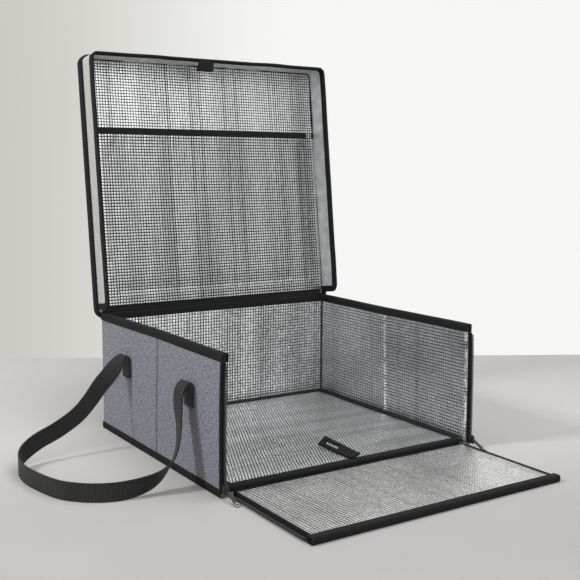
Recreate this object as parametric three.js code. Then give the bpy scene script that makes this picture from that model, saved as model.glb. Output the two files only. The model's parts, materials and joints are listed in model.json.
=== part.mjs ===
// Insulated casserole carrier, standing open on a table: a cloth box lined with foil, a lid hinged to the
// top of the back wall, a front wall that folds down as a flap, a base board that lifts by a loop, a webbing
// handle on each side and a zip up each front corner. Millimetres, +Z up, +X to the right, front towards -Y.
// The origin is the centre of the underside of the bottom cloth.
import * as THREE from 'three';

// Overall sizes
const WIDTH = 432; // across the outer cloth of the side walls
const DEPTH = 390; // front edge of the side walls to the back of the back cloth
const HEIGHT = 190; // table to the top of the wall bindings

// Plies of a wall, from the outside in
const CLOTH = 1.2;
const BOARD = 2.4;
const LINING = 3;
const PLY_GAP = 0.3; // between plies that are sewn together

// Edge bindings, folded over the plies
const BINDING = 1;
const BINDING_GAP = 0.3;
const BINDING_LEG = 12; // how far a binding reaches down each face
const BINDING_END = 0.8; // how far the wall bindings stand out past the front edge
const MITRE_GAP = 0.3; // between two bindings that meet at a corner
const FOOT_BAND = 11; // height of the binding round the foot of the walls

// Stiffening boards of the side walls, split by the crease that lets the walls fold
const CREASE = 6; // width of the bare stretch between two half boards
const CREASE_Y = 0; // where the crease runs

// Zips at the front corners
const ZIP_SEAM = 7; // how far a zip tape is sewn in between the plies
const ZIP_TAPE = 1; // thickness of a tape
const ZIP_REACH = 5.7; // bare tape between the seam and the teeth
const ZIP_TEETH_WIDE = 2.3;
const ZIP_TEETH_THICK = 3;
const ZIP_FOOT = 6; // height of the wall zip's lower end
const ZIP_HEAD_DROP = 14; // from the top of the wall down to the wall zip's upper end
const FLAP_ZIP_START = 10; // from the flap's hinge line to its zips

// Zip sliders and their pulls
const SLIDER_Z = 7; // lower end of a slider that is parked at the bottom
const SLIDER_TALL = 12;
const SLIDER_PLATE = 1.2;
const SLIDER_NOSE = 1.4; // the wall across the front of the channel
const SLIDER_CLEAR = 0.4; // round the teeth
const SLIDER_BACK = 2.1; // how far the plates reach back from the teeth
const LUG_THICK = 1.6;
const LUG_LONG = 4.1;
const PULL_LONG = 27; // pivot to the centre of the eye
const PULL_HALF = 2.6;
const PULL_THICK = 1.4;
const PULL_FORK = 6.8; // depth of the fork, from the pivot
const PULL_TAIL = 1.5; // the fork's arms behind the pivot
const PULL_CLEAR = 0.3; // between the fork and the lug
const PULL_EYE = 3.4;
const PULL_HOLE = 1.7;
const TABLE_CLEAR = 0.2; // what lies loose on the table keeps this much above it

// Front flap, flat on the table
const FLAP_HINGE_OUT = 5; // hinge line, in front of the side walls
const FLAP_LENGTH = 184.5; // hinge line to the free edge
const FLAP_SIDE_CLEAR = 0.6; // between the flap and the wall bindings when it is shut
const PIPING_RADIUS = 3.4; // round piping along the hinge line
const PIPING_GAP = 0.4;

// Lifting base board
const BASE_CORE = 3;
const BASE_PAD = 3;
const BASE_SIDE_CLEAR = 2; // to the side linings
const BASE_REAR_CLEAR = 0.5; // to the back lining, where the board is hinged
const BASE_FRONT_BACK = 0.7; // from the front edge of the side walls
const BASE_CORNER = 14;
const LOOP_X = 5; // the pull loop, right of centre
const LOOP_WIDE = 22;
const LOOP_LONG = 84;
const LOOP_WEB = 1.6; // thickness of the loop's webbing
const LOOP_RISE = 9.6; // height of the loop at its free end
const LOOP_SEWN = 14; // length of the loop's sewn root
const LOOP_CLEAR = 0.8; // between the lifted loop's root and the board's binding

// Lid
const LID_LEAN = 7; // degrees past upright
const LID_HINGE_RADIUS = 1.4; // round hinge tape along the top of the back wall
const LID_HINGE_GAP = 0.3;
const LID_HINGE_DROP = 0.5; // hinge line below the top of the wall
const LID_SIDE_CLEAR = 0.7; // between the shut lid's rim and what it covers
const SKIRT = 1.6; // thickness of the skirt
const SKIRT_DEPTH = 52; // outer face of the lid to the edge of the rim
const RIM_LEG = 11;
const EDGE_WIDE = 10; // padded edge round the lid's outer panel
const EDGE_TALL = 9;
const EDGE_BEVEL = 3;
const EDGE_CORNER = 12;
const EDGE_OVER = 3; // how far the edge stands out past the rim
const EDGE_REAR = 1.2; // from the hinge line to the edge behind it
const SKIRT_REAR = 3; // the skirt's rear end, in front of the hinge line
const POCKET_GAP = 6; // room inside the pocket
const POCKET_PANEL = 1;
const POCKET_SEAM = 5; // width of the pocket's sewn edges
const POCKET_SIDE_CLEAR = 3.3; // from the wall bindings
const POCKET_FOOT = 16; // from the hinge line to the pocket's lower seam
const POCKET_MOUTH = 295; // from the hinge line to the pocket's mouth
const POCKET_BINDING_LEG = 9;
const TAB_X = -20;
const TAB_WIDE = 28;
const TAB_LONG = 13;
const TAB_THICK = 1.6;
const TAB_DROP = 1.6; // the tab's fold, below the edge of the rim

// Handles
const STRAP_WIDE = 25;
const STRAP_THICK = 2.2;
const PATCH_THICK = 2;
const PATCH_FOOT = 103; // height of a sewn end's lower edge
const PATCH_TALL = 31;
const HANDLE_REAR = 96; // the rear sewn end, behind the middle of the wall
const HANDLE_FRONT = 110; // the front sewn end, ahead of the middle
const STRAP_START = 3.6; // the loop's root, out from the cloth
const STRAP_LIFT = 0.5; // the loop's root, above its sewn end
const ROUTE_STEPS = 4; // stretches of strap between two points of its route

// Facets
const ROD_SIDES = 12; // round a hinge rod
const CORNER_STEPS = 4; // round a corner of a binding or padded edge
const PLATE_CORNER_STEPS = 3; // round a corner of a flat ply
const CURVE_STEPS = 8; // along each curve of a section

// Sizes that follow
const BOARD_IN = CLOTH + PLY_GAP;
const LINING_IN = BOARD_IN + BOARD + PLY_GAP;
const WALL = LINING_IN + LINING;
const BINDING_OUT = BINDING + BINDING_GAP;
const PLY_FOOT = CLOTH + PLY_GAP;
const PLY_TOP = HEIGHT - BINDING_OUT;
const FRONT = -DEPTH / 2;
const BACK = DEPTH / 2;
const SIDE = WIDTH / 2;
const PATCH_TOP = PATCH_FOOT + PATCH_TALL;

// Looks of the solids
const looks = (color, roughness, metalness = 0) => new THREE.MeshStandardMaterial({ color, roughness, metalness });
const clothLook = looks(0x7f7e87, 0.95);
const bindingLook = looks(0x1e1e20, 0.85);
const foilLook = looks(0xb9bbbd, 0.35, 0.8);
const boardLook = looks(0x8d8b86, 0.8);
const webLook = looks(0x28282a, 0.8);
const metalLook = looks(0x37373a, 0.4, 0.9);

const carrier = new THREE.Group();

// Helpers

// The signed volume of an indexed mesh tells which way its faces point.
function signedVolume(position, index) {
  const a = new THREE.Vector3();
  const b = new THREE.Vector3();
  const c = new THREE.Vector3();
  let volume = 0;
  for (let i = 0; i < index.length; i += 3) {
    a.fromArray(position, index[i] * 3);
    b.fromArray(position, index[i + 1] * 3);
    c.fromArray(position, index[i + 2] * 3);
    volume += a.dot(b.cross(c)) / 6;
  }
  return volume;
}

// A closed body from corner points and triangles, turned so that its faces point out.
function body(position, index) {
  const facing = [...index];
  if (signedVolume(position, index) < 0) facing.reverse();
  const geometry = new THREE.BufferGeometry();
  geometry.setAttribute('position', new THREE.Float32BufferAttribute(position, 3));
  geometry.setIndex(facing);
  geometry.computeVertexNormals();
  return geometry;
}

function add(parent, name, geometry, look) {
  const mesh = new THREE.Mesh(geometry, look);
  mesh.name = name;
  parent.add(mesh);
  return mesh;
}

// A flat panel between two values on each axis, in any order.
function panel(parent, name, look, xs, ys, zs) {
  const size = [xs, ys, zs].map(([a, b]) => Math.abs(b - a));
  const mesh = add(parent, name, new THREE.BoxGeometry(...size), look);
  mesh.position.set((xs[0] + xs[1]) / 2, (ys[0] + ys[1]) / 2, (zs[0] + zs[1]) / 2);
}

function outline(points) {
  return new THREE.Shape(points.map(([u, v]) => new THREE.Vector2(u, v)));
}

// A bar with the given section. Its points are origin + u U + v V + w W, and each end of w is a plane
// [w at u = 0, change of w with u], so that a slope of 1 or -1 makes a mitre.
function bar(section, start, end, origin, axes) {
  const extruded = new THREE.ExtrudeGeometry(section, { depth: 1, bevelEnabled: false, curveSegments: CURVE_STEPS });
  const at = extruded.getAttribute('position');
  const [U, V, W] = axes.map((axis) => new THREE.Vector3(...axis));
  const from = new THREE.Vector3(...origin);
  const position = [];
  for (let i = 0; i < at.count; i += 1) {
    const u = at.getX(i);
    const [near, slope] = at.getZ(i) > 0.5 ? end : start;
    const point = from.clone().addScaledVector(U, u).addScaledVector(V, at.getY(i));
    point.addScaledVector(W, near + slope * u);
    position.push(point.x, point.y, point.z);
  }
  return body(position, [...Array(at.count).keys()]);
}

// Section of a binding folded over an edge: u runs from the outer face of the plies inward, v from the fold.
function channel(plies, leg) {
  const outer = -BINDING_OUT;
  const inner = plies + BINDING_OUT;
  return outline([
    [outer, 0], [inner, 0], [inner, leg], [inner - BINDING, leg], [inner - BINDING, BINDING],
    [outer + BINDING, BINDING], [outer + BINDING, leg], [outer, leg],
  ]);
}

function rectangle(u0, u1, v0, v1) {
  return outline([[u0, v0], [u1, v0], [u1, v1], [u0, v1]]);
}

// A section carried round a rectangle with round corners: u runs inward from the outside, v up.
function ring(section, xs, ys, corner) {
  const places = [];
  const quarters = [[1, 1, 0], [0, 1, 1], [0, 0, 2], [1, 0, 3]];
  for (const [xEnd, yEnd, turn] of quarters) {
    const x = xs[xEnd] + (xEnd ? -corner : corner);
    const y = ys[yEnd] + (yEnd ? -corner : corner);
    for (let k = 0; k <= CORNER_STEPS; k += 1) {
      const angle = (turn + k / CORNER_STEPS) * Math.PI / 2;
      places.push([x, y, Math.cos(angle), Math.sin(angle)]);
    }
  }
  const position = [];
  for (const [x, y, cos, sin] of places) {
    for (const [u, v] of section) position.push(x + (corner - u) * cos, y + (corner - u) * sin, v);
  }
  const index = [];
  const n = section.length;
  places.forEach((_, i) => {
    const next = ((i + 1) % places.length) * n;
    for (let j = 0; j < n; j += 1) {
      const k = (j + 1) % n;
      index.push(i * n + j, next + j, next + k, i * n + j, next + k, i * n + k);
    }
  });
  return body(position, index);
}

// A plate with round corners.
function plate(xs, ys, zs, corner) {
  const shape = new THREE.Shape();
  shape.moveTo(xs[0] + corner, ys[0]);
  shape.lineTo(xs[1] - corner, ys[0]);
  shape.absarc(xs[1] - corner, ys[0] + corner, corner, -Math.PI / 2, 0, false);
  shape.lineTo(xs[1], ys[1] - corner);
  shape.absarc(xs[1] - corner, ys[1] - corner, corner, 0, Math.PI / 2, false);
  shape.lineTo(xs[0] + corner, ys[1]);
  shape.absarc(xs[0] + corner, ys[1] - corner, corner, Math.PI / 2, Math.PI, false);
  shape.lineTo(xs[0], ys[0] + corner);
  shape.absarc(xs[0] + corner, ys[0] + corner, corner, Math.PI, Math.PI * 1.5, false);
  const depth = zs[1] - zs[0];
  const settings = { depth, bevelEnabled: false, curveSegments: PLATE_CORNER_STEPS };
  return new THREE.ExtrudeGeometry(shape, settings).translate(0, 0, zs[0]);
}

// A round rod along X.
function rod(radius, xs, y, z) {
  const geometry = new THREE.CylinderGeometry(radius, radius, xs[1] - xs[0], ROD_SIDES);
  return geometry.rotateZ(Math.PI / 2).translate((xs[0] + xs[1]) / 2, y, z);
}

// A flat strap along a route whose rows give a point and the direction across the strap there.
function ribbon(route) {
  const centre = new THREE.CatmullRomCurve3(route.map((row) => row.at), false, 'centripetal');
  const lying = new THREE.CatmullRomCurve3(route.map((row) => row.across));
  const count = (route.length - 1) * ROUTE_STEPS;
  const position = [];
  for (let i = 0; i <= count; i += 1) {
    const along = centre.getTangent(i / count);
    const across = lying.getPoint(i / count);
    across.addScaledVector(along, -across.dot(along)).normalize();
    const out = across.clone().cross(along).multiplyScalar(STRAP_THICK / 2);
    across.multiplyScalar(STRAP_WIDE / 2);
    for (const [a, b] of [[1, 1], [1, -1], [-1, -1], [-1, 1]]) {
      const corner = centre.getPoint(i / count).addScaledVector(across, a).addScaledVector(out, b);
      position.push(corner.x, corner.y, corner.z);
    }
  }
  const index = [0, 1, 2, 0, 2, 3];
  const last = count * 4;
  index.push(last, last + 2, last + 1, last, last + 3, last + 2);
  for (let i = 0; i < count; i += 1) {
    for (let j = 0; j < 4; j += 1) {
      const a = i * 4 + j;
      const b = i * 4 + (j + 1) % 4;
      index.push(a, a + 4, b + 4, a, b + 4, b);
    }
  }
  return body(position, index);
}

// The x values of a layer of the left (-1) or right (1) wall, from its depths below the outer cloth.
const layer = (hand, a, b) => [hand * (SIDE - a), hand * (SIDE - b)];

// Bottom
const pipingY = FRONT - FLAP_HINGE_OUT;
const bottomFront = pipingY + PIPING_RADIUS + PIPING_GAP;
const bottomTop = PLY_FOOT + LINING;
panel(carrier, 'bottom_cloth', clothLook, [-SIDE, SIDE], [bottomFront, BACK], [0, CLOTH]);
const liningHalf = SIDE - WALL - PLY_GAP;
panel(carrier, 'bottom_lining', foilLook, [-liningHalf, liningHalf], [bottomFront, BACK - WALL - PLY_GAP],
  [PLY_FOOT, bottomTop]);

// Side walls, their bindings and their halves of the zips
const wallBinding = channel(WALL, BINDING_LEG);
const footBinding = rectangle(-BINDING_OUT, -BINDING_GAP, 0, FOOT_BAND);
const toothBack = FRONT - ZIP_REACH;
const toothFront = toothBack - ZIP_TEETH_WIDE;
const zipMiddle = BOARD_IN + BOARD / 2; // depth of the zip in the wall
const zipSection = outline([
  [-ZIP_TAPE / 2, ZIP_SEAM], [-ZIP_TAPE / 2, -ZIP_REACH], [-ZIP_TEETH_THICK / 2, -ZIP_REACH],
  [-ZIP_TEETH_THICK / 2, -ZIP_REACH - ZIP_TEETH_WIDE], [ZIP_TEETH_THICK / 2, -ZIP_REACH - ZIP_TEETH_WIDE],
  [ZIP_TEETH_THICK / 2, -ZIP_REACH], [ZIP_TAPE / 2, -ZIP_REACH], [ZIP_TAPE / 2, ZIP_SEAM],
]);
for (const [side, hand] of [['left', -1], ['right', 1]]) {
  const rear = (depth) => BACK - depth - PLY_GAP;
  const high = [PLY_FOOT, PLY_TOP];
  const boardXs = layer(hand, BOARD_IN, BOARD_IN + BOARD);
  panel(carrier, `${side}_cloth`, clothLook, layer(hand, 0, CLOTH), [FRONT, rear(CLOTH)], high);
  panel(carrier, `${side}_front_board`, boardLook, boardXs,
    [FRONT + ZIP_SEAM + PLY_GAP, CREASE_Y - CREASE / 2], high);
  panel(carrier, `${side}_rear_board`, boardLook, boardXs, [CREASE_Y + CREASE / 2, rear(BOARD_IN + BOARD)], high);
  panel(carrier, `${side}_lining`, foilLook, layer(hand, LINING_IN, WALL), [FRONT, rear(WALL)], high);

  const inward = [-hand, 0, 0];
  const mitre = [BACK - MITRE_GAP / 2, -1];
  add(carrier, `${side}_top_binding`, bar(wallBinding, [FRONT - BINDING_END, 0], mitre,
    [hand * SIDE, 0, HEIGHT], [inward, [0, 0, -1], [0, 1, 0]]), bindingLook);
  add(carrier, `${side}_foot_binding`, bar(footBinding, [FRONT, 0], mitre,
    [hand * SIDE, 0, 0], [inward, [0, 0, 1], [0, 1, 0]]), bindingLook);
  add(carrier, `${side}_wall_zip`, bar(zipSection, [ZIP_FOOT, 0], [HEIGHT - ZIP_HEAD_DROP, 0],
    [hand * (SIDE - zipMiddle), FRONT, 0], [inward, [0, 1, 0], [0, 0, 1]]), bindingLook);
}

// Back wall
panel(carrier, 'back_cloth', clothLook, [-SIDE, SIDE], [BACK - CLOTH, BACK], [PLY_FOOT, PLY_TOP]);
const backBoardHalf = SIDE - BOARD_IN;
panel(carrier, 'back_board', boardLook, [-backBoardHalf, backBoardHalf], [BACK - BOARD_IN - BOARD, BACK - BOARD_IN],
  [PLY_FOOT, PLY_TOP]);
const backLiningHalf = SIDE - LINING_IN;
panel(carrier, 'back_lining', foilLook, [-backLiningHalf, backLiningHalf], [BACK - WALL, BACK - LINING_IN],
  [PLY_FOOT, PLY_TOP]);
const backMitres = [[-SIDE + MITRE_GAP / 2, 1], [SIDE - MITRE_GAP / 2, -1]];
add(carrier, 'back_top_binding', bar(wallBinding, ...backMitres, [0, BACK, HEIGHT],
  [[0, -1, 0], [0, 0, -1], [1, 0, 0]]), bindingLook);
add(carrier, 'back_foot_binding', bar(footBinding, ...backMitres, [0, BACK, 0],
  [[0, -1, 0], [0, 0, 1], [1, 0, 0]]), bindingLook);

// Front flap
const flapCloth = BINDING_OUT; // height of the underside of the flap's cloth
const flapHalf = SIDE - WALL - BINDING_OUT - FLAP_SIDE_CLEAR;
const flapPlyHalf = flapHalf - ZIP_TEETH_WIDE - ZIP_REACH;
const flapRear = pipingY - PIPING_RADIUS - PIPING_GAP;
const flapFront = pipingY - FLAP_LENGTH;
const flapPlyYs = [flapFront + BINDING_OUT, flapRear];
const flapMiddle = flapCloth + WALL / 2;
const flapZs = (a, b) => [flapCloth + a, flapCloth + b];
panel(carrier, 'flap_cloth', clothLook, [-flapPlyHalf, flapPlyHalf], flapPlyYs, flapZs(0, CLOTH));
const flapBoardHalf = flapPlyHalf - ZIP_SEAM - PLY_GAP;
panel(carrier, 'flap_board', boardLook, [-flapBoardHalf, flapBoardHalf], flapPlyYs,
  flapZs(BOARD_IN, BOARD_IN + BOARD));
panel(carrier, 'flap_lining', foilLook, [-flapPlyHalf, flapPlyHalf], flapPlyYs, flapZs(LINING_IN, WALL));
add(carrier, 'flap_edge_binding', bar(wallBinding, [-flapHalf, 0], [flapHalf, 0],
  [0, flapFront, flapCloth], [[0, 0, 1], [0, 1, 0], [1, 0, 0]]), bindingLook);
add(carrier, 'flap_hinge_piping', rod(PIPING_RADIUS, [-flapPlyHalf, flapPlyHalf], pipingY, flapMiddle), bindingLook);
const flapZipYs = [[flapFront + BINDING_LEG + BINDING_GAP, 0], [pipingY - FLAP_ZIP_START, 0]];
for (const [side, hand] of [['left', -1], ['right', 1]]) {
  add(carrier, `flap_${side}_zip`, bar(zipSection, ...flapZipYs, [hand * flapPlyHalf, 0, flapCloth + zipMiddle],
    [[0, 0, 1], [-hand, 0, 0], [0, 1, 0]]), bindingLook);
}

// Sliders and pulls, parked at the bottom of the zips
const channelHalf = ZIP_TEETH_THICK / 2 + SLIDER_CLEAR;
const sliderHalf = channelHalf + SLIDER_PLATE;
const noseBack = toothFront - SLIDER_CLEAR;
const noseFront = noseBack - SLIDER_NOSE;
const lugHalf = LUG_THICK / 2;
const sliderSection = outline([
  [-sliderHalf, toothBack + SLIDER_BACK], [-sliderHalf, noseFront], [-lugHalf, noseFront],
  [-lugHalf, noseFront - LUG_LONG], [lugHalf, noseFront - LUG_LONG], [lugHalf, noseFront], [sliderHalf, noseFront],
  [sliderHalf, toothBack + SLIDER_BACK], [channelHalf, toothBack + SLIDER_BACK], [channelHalf, noseBack],
  [-channelHalf, noseBack], [-channelHalf, toothBack + SLIDER_BACK],
]);
const pullY = noseFront - LUG_LONG / 2;
const pullZ = SLIDER_Z + SLIDER_TALL / 2;
const pullReach = PULL_LONG + PULL_EYE;
const pullSlope = Math.asin((pullZ - TABLE_CLEAR - PULL_THICK / 2) / pullReach);

// Plan of a pull: a fork round the slider's lug, a flat tab and an eye. v runs from the pivot to the eye.
function pullPlan() {
  const gap = lugHalf + PULL_CLEAR;
  const neck = Math.asin(PULL_HALF / PULL_EYE);
  const plan = new THREE.Shape();
  plan.moveTo(-gap, -PULL_TAIL);
  plan.lineTo(-gap, PULL_FORK);
  plan.lineTo(gap, PULL_FORK);
  plan.lineTo(gap, -PULL_TAIL);
  plan.lineTo(PULL_HALF, -PULL_TAIL);
  plan.absarc(0, PULL_LONG, PULL_EYE, -Math.PI / 2 + neck, Math.PI * 1.5 - neck, false);
  plan.lineTo(-PULL_HALF, -PULL_TAIL);
  const hole = new THREE.Path();
  hole.absarc(0, PULL_LONG, PULL_HOLE, 0, Math.PI * 2, true);
  plan.holes.push(hole);
  return plan;
}

for (const [side, hand] of [['left', -1], ['right', 1]]) {
  const x = hand * (SIDE - zipMiddle);
  add(carrier, `${side}_slider`, bar(sliderSection, [SLIDER_Z, 0], [SLIDER_Z + SLIDER_TALL, 0], [x, 0, 0],
    [[1, 0, 0], [0, 1, 0], [0, 0, 1]]), metalLook);
  const hanging = new THREE.Group();
  hanging.position.set(x, pullY, pullZ);
  hanging.rotation.x = pullSlope;
  add(hanging, `${side}_pull`, bar(pullPlan(), [-PULL_THICK / 2, 0], [PULL_THICK / 2, 0], [0, 0, 0],
    [[1, 0, 0], [0, -1, 0], [0, 0, 1]]), metalLook);
  carrier.add(hanging);
}

// Base board, resting on the bottom lining
const baseFoot = bottomTop + PLY_GAP;
const basePlies = BASE_CORE + PLY_GAP + BASE_PAD;
const baseTop = baseFoot + basePlies + 2 * BINDING_OUT;
const baseHalf = SIDE - WALL - BASE_SIDE_CLEAR;
const baseXs = [-baseHalf, baseHalf];
const baseYs = [FRONT + BASE_FRONT_BACK, BACK - WALL - BASE_REAR_CLEAR];
const inset = ([a, b], by) => [a + by, b - by];
const coreZs = [baseFoot + BINDING_OUT, baseFoot + BINDING_OUT + BASE_CORE];
const padZs = [coreZs[1] + PLY_GAP, coreZs[1] + PLY_GAP + BASE_PAD];
const baseInsetCorner = BASE_CORNER - BINDING_OUT;
add(carrier, 'base_board_core', plate(inset(baseXs, BINDING_OUT), inset(baseYs, BINDING_OUT), coreZs,
  baseInsetCorner), boardLook);
add(carrier, 'base_board_foil', plate(inset(baseXs, BINDING_OUT), inset(baseYs, BINDING_OUT), padZs,
  baseInsetCorner), foilLook);
const baseBinding = [
  [0, baseFoot], [BINDING_LEG, baseFoot], [BINDING_LEG, baseFoot + BINDING], [BINDING, baseFoot + BINDING],
  [BINDING, baseTop - BINDING], [BINDING_LEG, baseTop - BINDING], [BINDING_LEG, baseTop], [0, baseTop],
];
add(carrier, 'base_board_binding', ring(baseBinding, baseXs, baseYs, BASE_CORNER), bindingLook);

// Side view of the pull loop: v runs from the root, w up from the board.
const loopRoot = 2 * LOOP_WEB;
function loopSide() {
  const end = LOOP_RISE / 2;
  const bend = LOOP_LONG - end;
  const side = new THREE.Shape();
  side.moveTo(0, 0);
  side.lineTo(bend, 0);
  side.absarc(bend, end, end, -Math.PI / 2, Math.PI / 2, false);
  side.lineTo(LOOP_SEWN, loopRoot);
  side.lineTo(0, loopRoot);
  const hole = new THREE.Path();
  const inner = end - LOOP_WEB;
  hole.moveTo(LOOP_SEWN + loopRoot, LOOP_WEB);
  hole.lineTo(bend, LOOP_WEB);
  hole.absarc(bend, end, inner, -Math.PI / 2, Math.PI / 2, false);
  side.holes.push(hole);
  return side;
}
const loopFoot = padZs[1] + PLY_GAP;
const loopFront = baseYs[0] + BINDING_LEG + loopRoot + LOOP_CLEAR;
add(carrier, 'base_pull_loop', bar(loopSide(), [LOOP_X - LOOP_WIDE / 2, 0], [LOOP_X + LOOP_WIDE / 2, 0],
  [0, loopFront, loopFoot], [[0, 1, 0], [0, 0, 1], [1, 0, 0]]), webLook);

// Lid, drawn shut and turned open about its hinge line
const hingeY = BACK + BINDING_OUT + LID_HINGE_GAP + LID_HINGE_RADIUS;
const hingeZ = HEIGHT - LID_HINGE_DROP;
const lidUnder = hingeZ + LID_HINGE_RADIUS + LID_HINGE_GAP; // underside of the lid's lining
const lidTop = lidUnder + WALL;
const rimZ = lidTop - SKIRT_DEPTH;
const coveredSide = SIDE + BINDING_OUT;
const coveredFront = pipingY - flapMiddle; // outer face of the flap when it is shut
const skirtX = coveredSide + LID_SIDE_CLEAR + BINDING_OUT + SKIRT; // outer face of the skirt
const skirtY = coveredFront - LID_SIDE_CLEAR - BINDING_OUT - SKIRT;
const edgeX = skirtX + BINDING_OUT + EDGE_OVER;
const edgeXs = [-edgeX, edgeX];
const edgeYs = [skirtY - BINDING_OUT - EDGE_OVER, hingeY + EDGE_REAR + EDGE_WIDE];
const edgeZs = [lidUnder + PLY_GAP, lidUnder + PLY_GAP + EDGE_TALL];
const lid = new THREE.Group();
lid.position.set(0, hingeY, hingeZ);
lid.rotation.x = -THREE.MathUtils.degToRad(90 + LID_LEAN);
const shut = new THREE.Group();
shut.position.set(0, -hingeY, -hingeZ);
lid.add(shut);
carrier.add(lid);

const lidPlate = (name, look, depth, thick) => {
  const ply = [lidTop - depth - thick, lidTop - depth];
  const within = EDGE_WIDE + PLY_GAP;
  add(shut, name, plate(inset(edgeXs, within), inset(edgeYs, within), ply, EDGE_CORNER - EDGE_WIDE), look);
};
lidPlate('lid_cloth', clothLook, 0, CLOTH);
lidPlate('lid_board', boardLook, BOARD_IN, BOARD);
lidPlate('lid_lining', foilLook, LINING_IN, LINING);
const edgeSection = [
  [EDGE_BEVEL, edgeZs[0]], [EDGE_WIDE - EDGE_BEVEL, edgeZs[0]], [EDGE_WIDE, edgeZs[0] + EDGE_BEVEL],
  [EDGE_WIDE, edgeZs[1] - EDGE_BEVEL], [EDGE_WIDE - EDGE_BEVEL, edgeZs[1]], [EDGE_BEVEL, edgeZs[1]],
  [0, edgeZs[1] - EDGE_BEVEL], [0, edgeZs[0] + EDGE_BEVEL],
];
add(shut, 'lid_edge_piping', ring(edgeSection, edgeXs, edgeYs, EDGE_CORNER), bindingLook);

// The skirt hangs from the padded edge, and a binding closes its rim.
const skirtTop = edgeZs[0] - PLY_GAP;
const skirtSection = rectangle(0, SKIRT, rimZ + BINDING_OUT, skirtTop);
const rimBinding = channel(SKIRT, RIM_LEG);
const skirtMitre = MITRE_GAP / 2;
const skirtRear = hingeY - SKIRT_REAR;
for (const [side, hand] of [['left', -1], ['right', 1]]) {
  const run = [[skirtY + skirtMitre, 1], [skirtRear, 0]];
  add(shut, `lid_${side}_skirt`, bar(skirtSection, ...run, [hand * skirtX, 0, 0],
    [[-hand, 0, 0], [0, 0, 1], [0, 1, 0]]), clothLook);
  add(shut, `lid_${side}_rim`, bar(rimBinding, ...run, [hand * skirtX, 0, rimZ],
    [[-hand, 0, 0], [0, 0, 1], [0, 1, 0]]), bindingLook);
}
const frontRun = [[-skirtX + skirtMitre, 1], [skirtX - skirtMitre, -1]];
add(shut, 'lid_front_skirt', bar(skirtSection, ...frontRun, [0, skirtY, 0],
  [[0, 1, 0], [0, 0, 1], [1, 0, 0]]), clothLook);
add(shut, 'lid_front_rim', bar(rimBinding, ...frontRun, [0, skirtY, rimZ],
  [[0, 1, 0], [0, 0, 1], [1, 0, 0]]), bindingLook);

// The pocket is a foil panel sewn along three edges and bound along its mouth.
const pocketHalf = SIDE - WALL - BINDING_OUT - POCKET_SIDE_CLEAR;
const pocketRear = hingeY - POCKET_FOOT;
const pocketFront = hingeY - POCKET_MOUTH;
const pocketZs = [lidUnder - POCKET_GAP - POCKET_PANEL, lidUnder - POCKET_GAP];
const pocketSeamZs = [pocketZs[1] + PLY_GAP, lidUnder - PLY_GAP];
const pocketSeamYs = [pocketFront, pocketRear - POCKET_SEAM - PLY_GAP];
panel(shut, 'lid_pocket_panel', foilLook, [-pocketHalf, pocketHalf], [pocketFront + BINDING_OUT, pocketRear], pocketZs);
panel(shut, 'lid_pocket_lower_seam', foilLook, [-pocketHalf, pocketHalf], [pocketRear - POCKET_SEAM, pocketRear],
  pocketSeamZs);
for (const [side, hand] of [['left', -1], ['right', 1]]) {
  panel(shut, `lid_pocket_${side}_seam`, foilLook, [hand * (pocketHalf - POCKET_SEAM), hand * pocketHalf],
    [pocketSeamYs[0] + POCKET_BINDING_LEG + BINDING_GAP, pocketSeamYs[1]], pocketSeamZs);
}
add(shut, 'lid_pocket_binding', bar(channel(POCKET_PANEL, POCKET_BINDING_LEG), [-pocketHalf, 0], [pocketHalf, 0],
  [0, pocketFront, pocketZs[0]], [[0, 0, 1], [0, 1, 0], [1, 0, 0]]), bindingLook);

add(shut, 'lid_hinge_tape', rod(LID_HINGE_RADIUS, [-backLiningHalf, backLiningHalf], hingeY, hingeZ), bindingLook);

// The pull tab hangs from the rim, straight down while the lid is open.
const tab = new THREE.Group();
tab.position.set(TAB_X, skirtY + SKIRT / 2, rimZ - TAB_DROP);
tab.rotation.x = -lid.rotation.x;
shut.add(tab);
panel(tab, 'lid_pull_tab', webLook, [-TAB_WIDE / 2, TAB_WIDE / 2], [-TAB_THICK / 2, TAB_THICK / 2], [-TAB_LONG, 0]);

// Handles. A row of a route is [out from the cloth, back from its sewn end, share of the rise from the table
// to the loop's root, and the direction across the strap as out, back and up]. Each leg runs from its sewn
// end down to the table, and the two legs of a loop meet there.
const leftRearLeg = [
  [STRAP_START, 0, 1, 0, 1, 0],
  [14, -1, 0.92, 0.3, 0.9, 0.25],
  [25, -3, 0.81, 0.6, 0.5, 0.5],
  [41, -5, 0.66, 0.75, 0.15, 0.65],
  [61, -8, 0.5, 0.7, 0, 0.7],
  [85, -12, 0.37, 0.55, 0, 0.83],
  [117, -17, 0.24, 0.38, 0, 0.92],
  [149, -23, 0.14, 0.25, 0, 0.97],
  [174, -35, 0.06, 0.1, 0, 1],
  [188, -58, 0.01, 0, 0, 1],
  [192, -96, 0, 0, 0, 1],
];
const leftFrontLeg = [
  [STRAP_START, 0, 1, 0, -1, 0],
  [12, 0, 0.93, 0, -1, 0],
  [16, -1, 0.8, 0, -1, 0],
  [14, 0, 0.65, 0.15, -0.98, 0],
  [11, 1, 0.48, 0.4, -0.9, 0],
  [15, 0, 0.31, 0.7, -0.6, 0.2],
  [28, -4, 0.16, 0.7, -0.3, 0.6],
  [53, -12, 0.05, 0.4, 0, 0.9],
  [83, -21, 0, 0, 0, 1],
  [113, -24, 0, 0, 0, 1],
  [138, -16, 0, 0, 0, 1],
  [158, 0, 0, 0, 0, 1],
  [176, 25, 0, 0, 0, 1],
  [188, 68, 0, 0, 0, 1],
];
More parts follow.
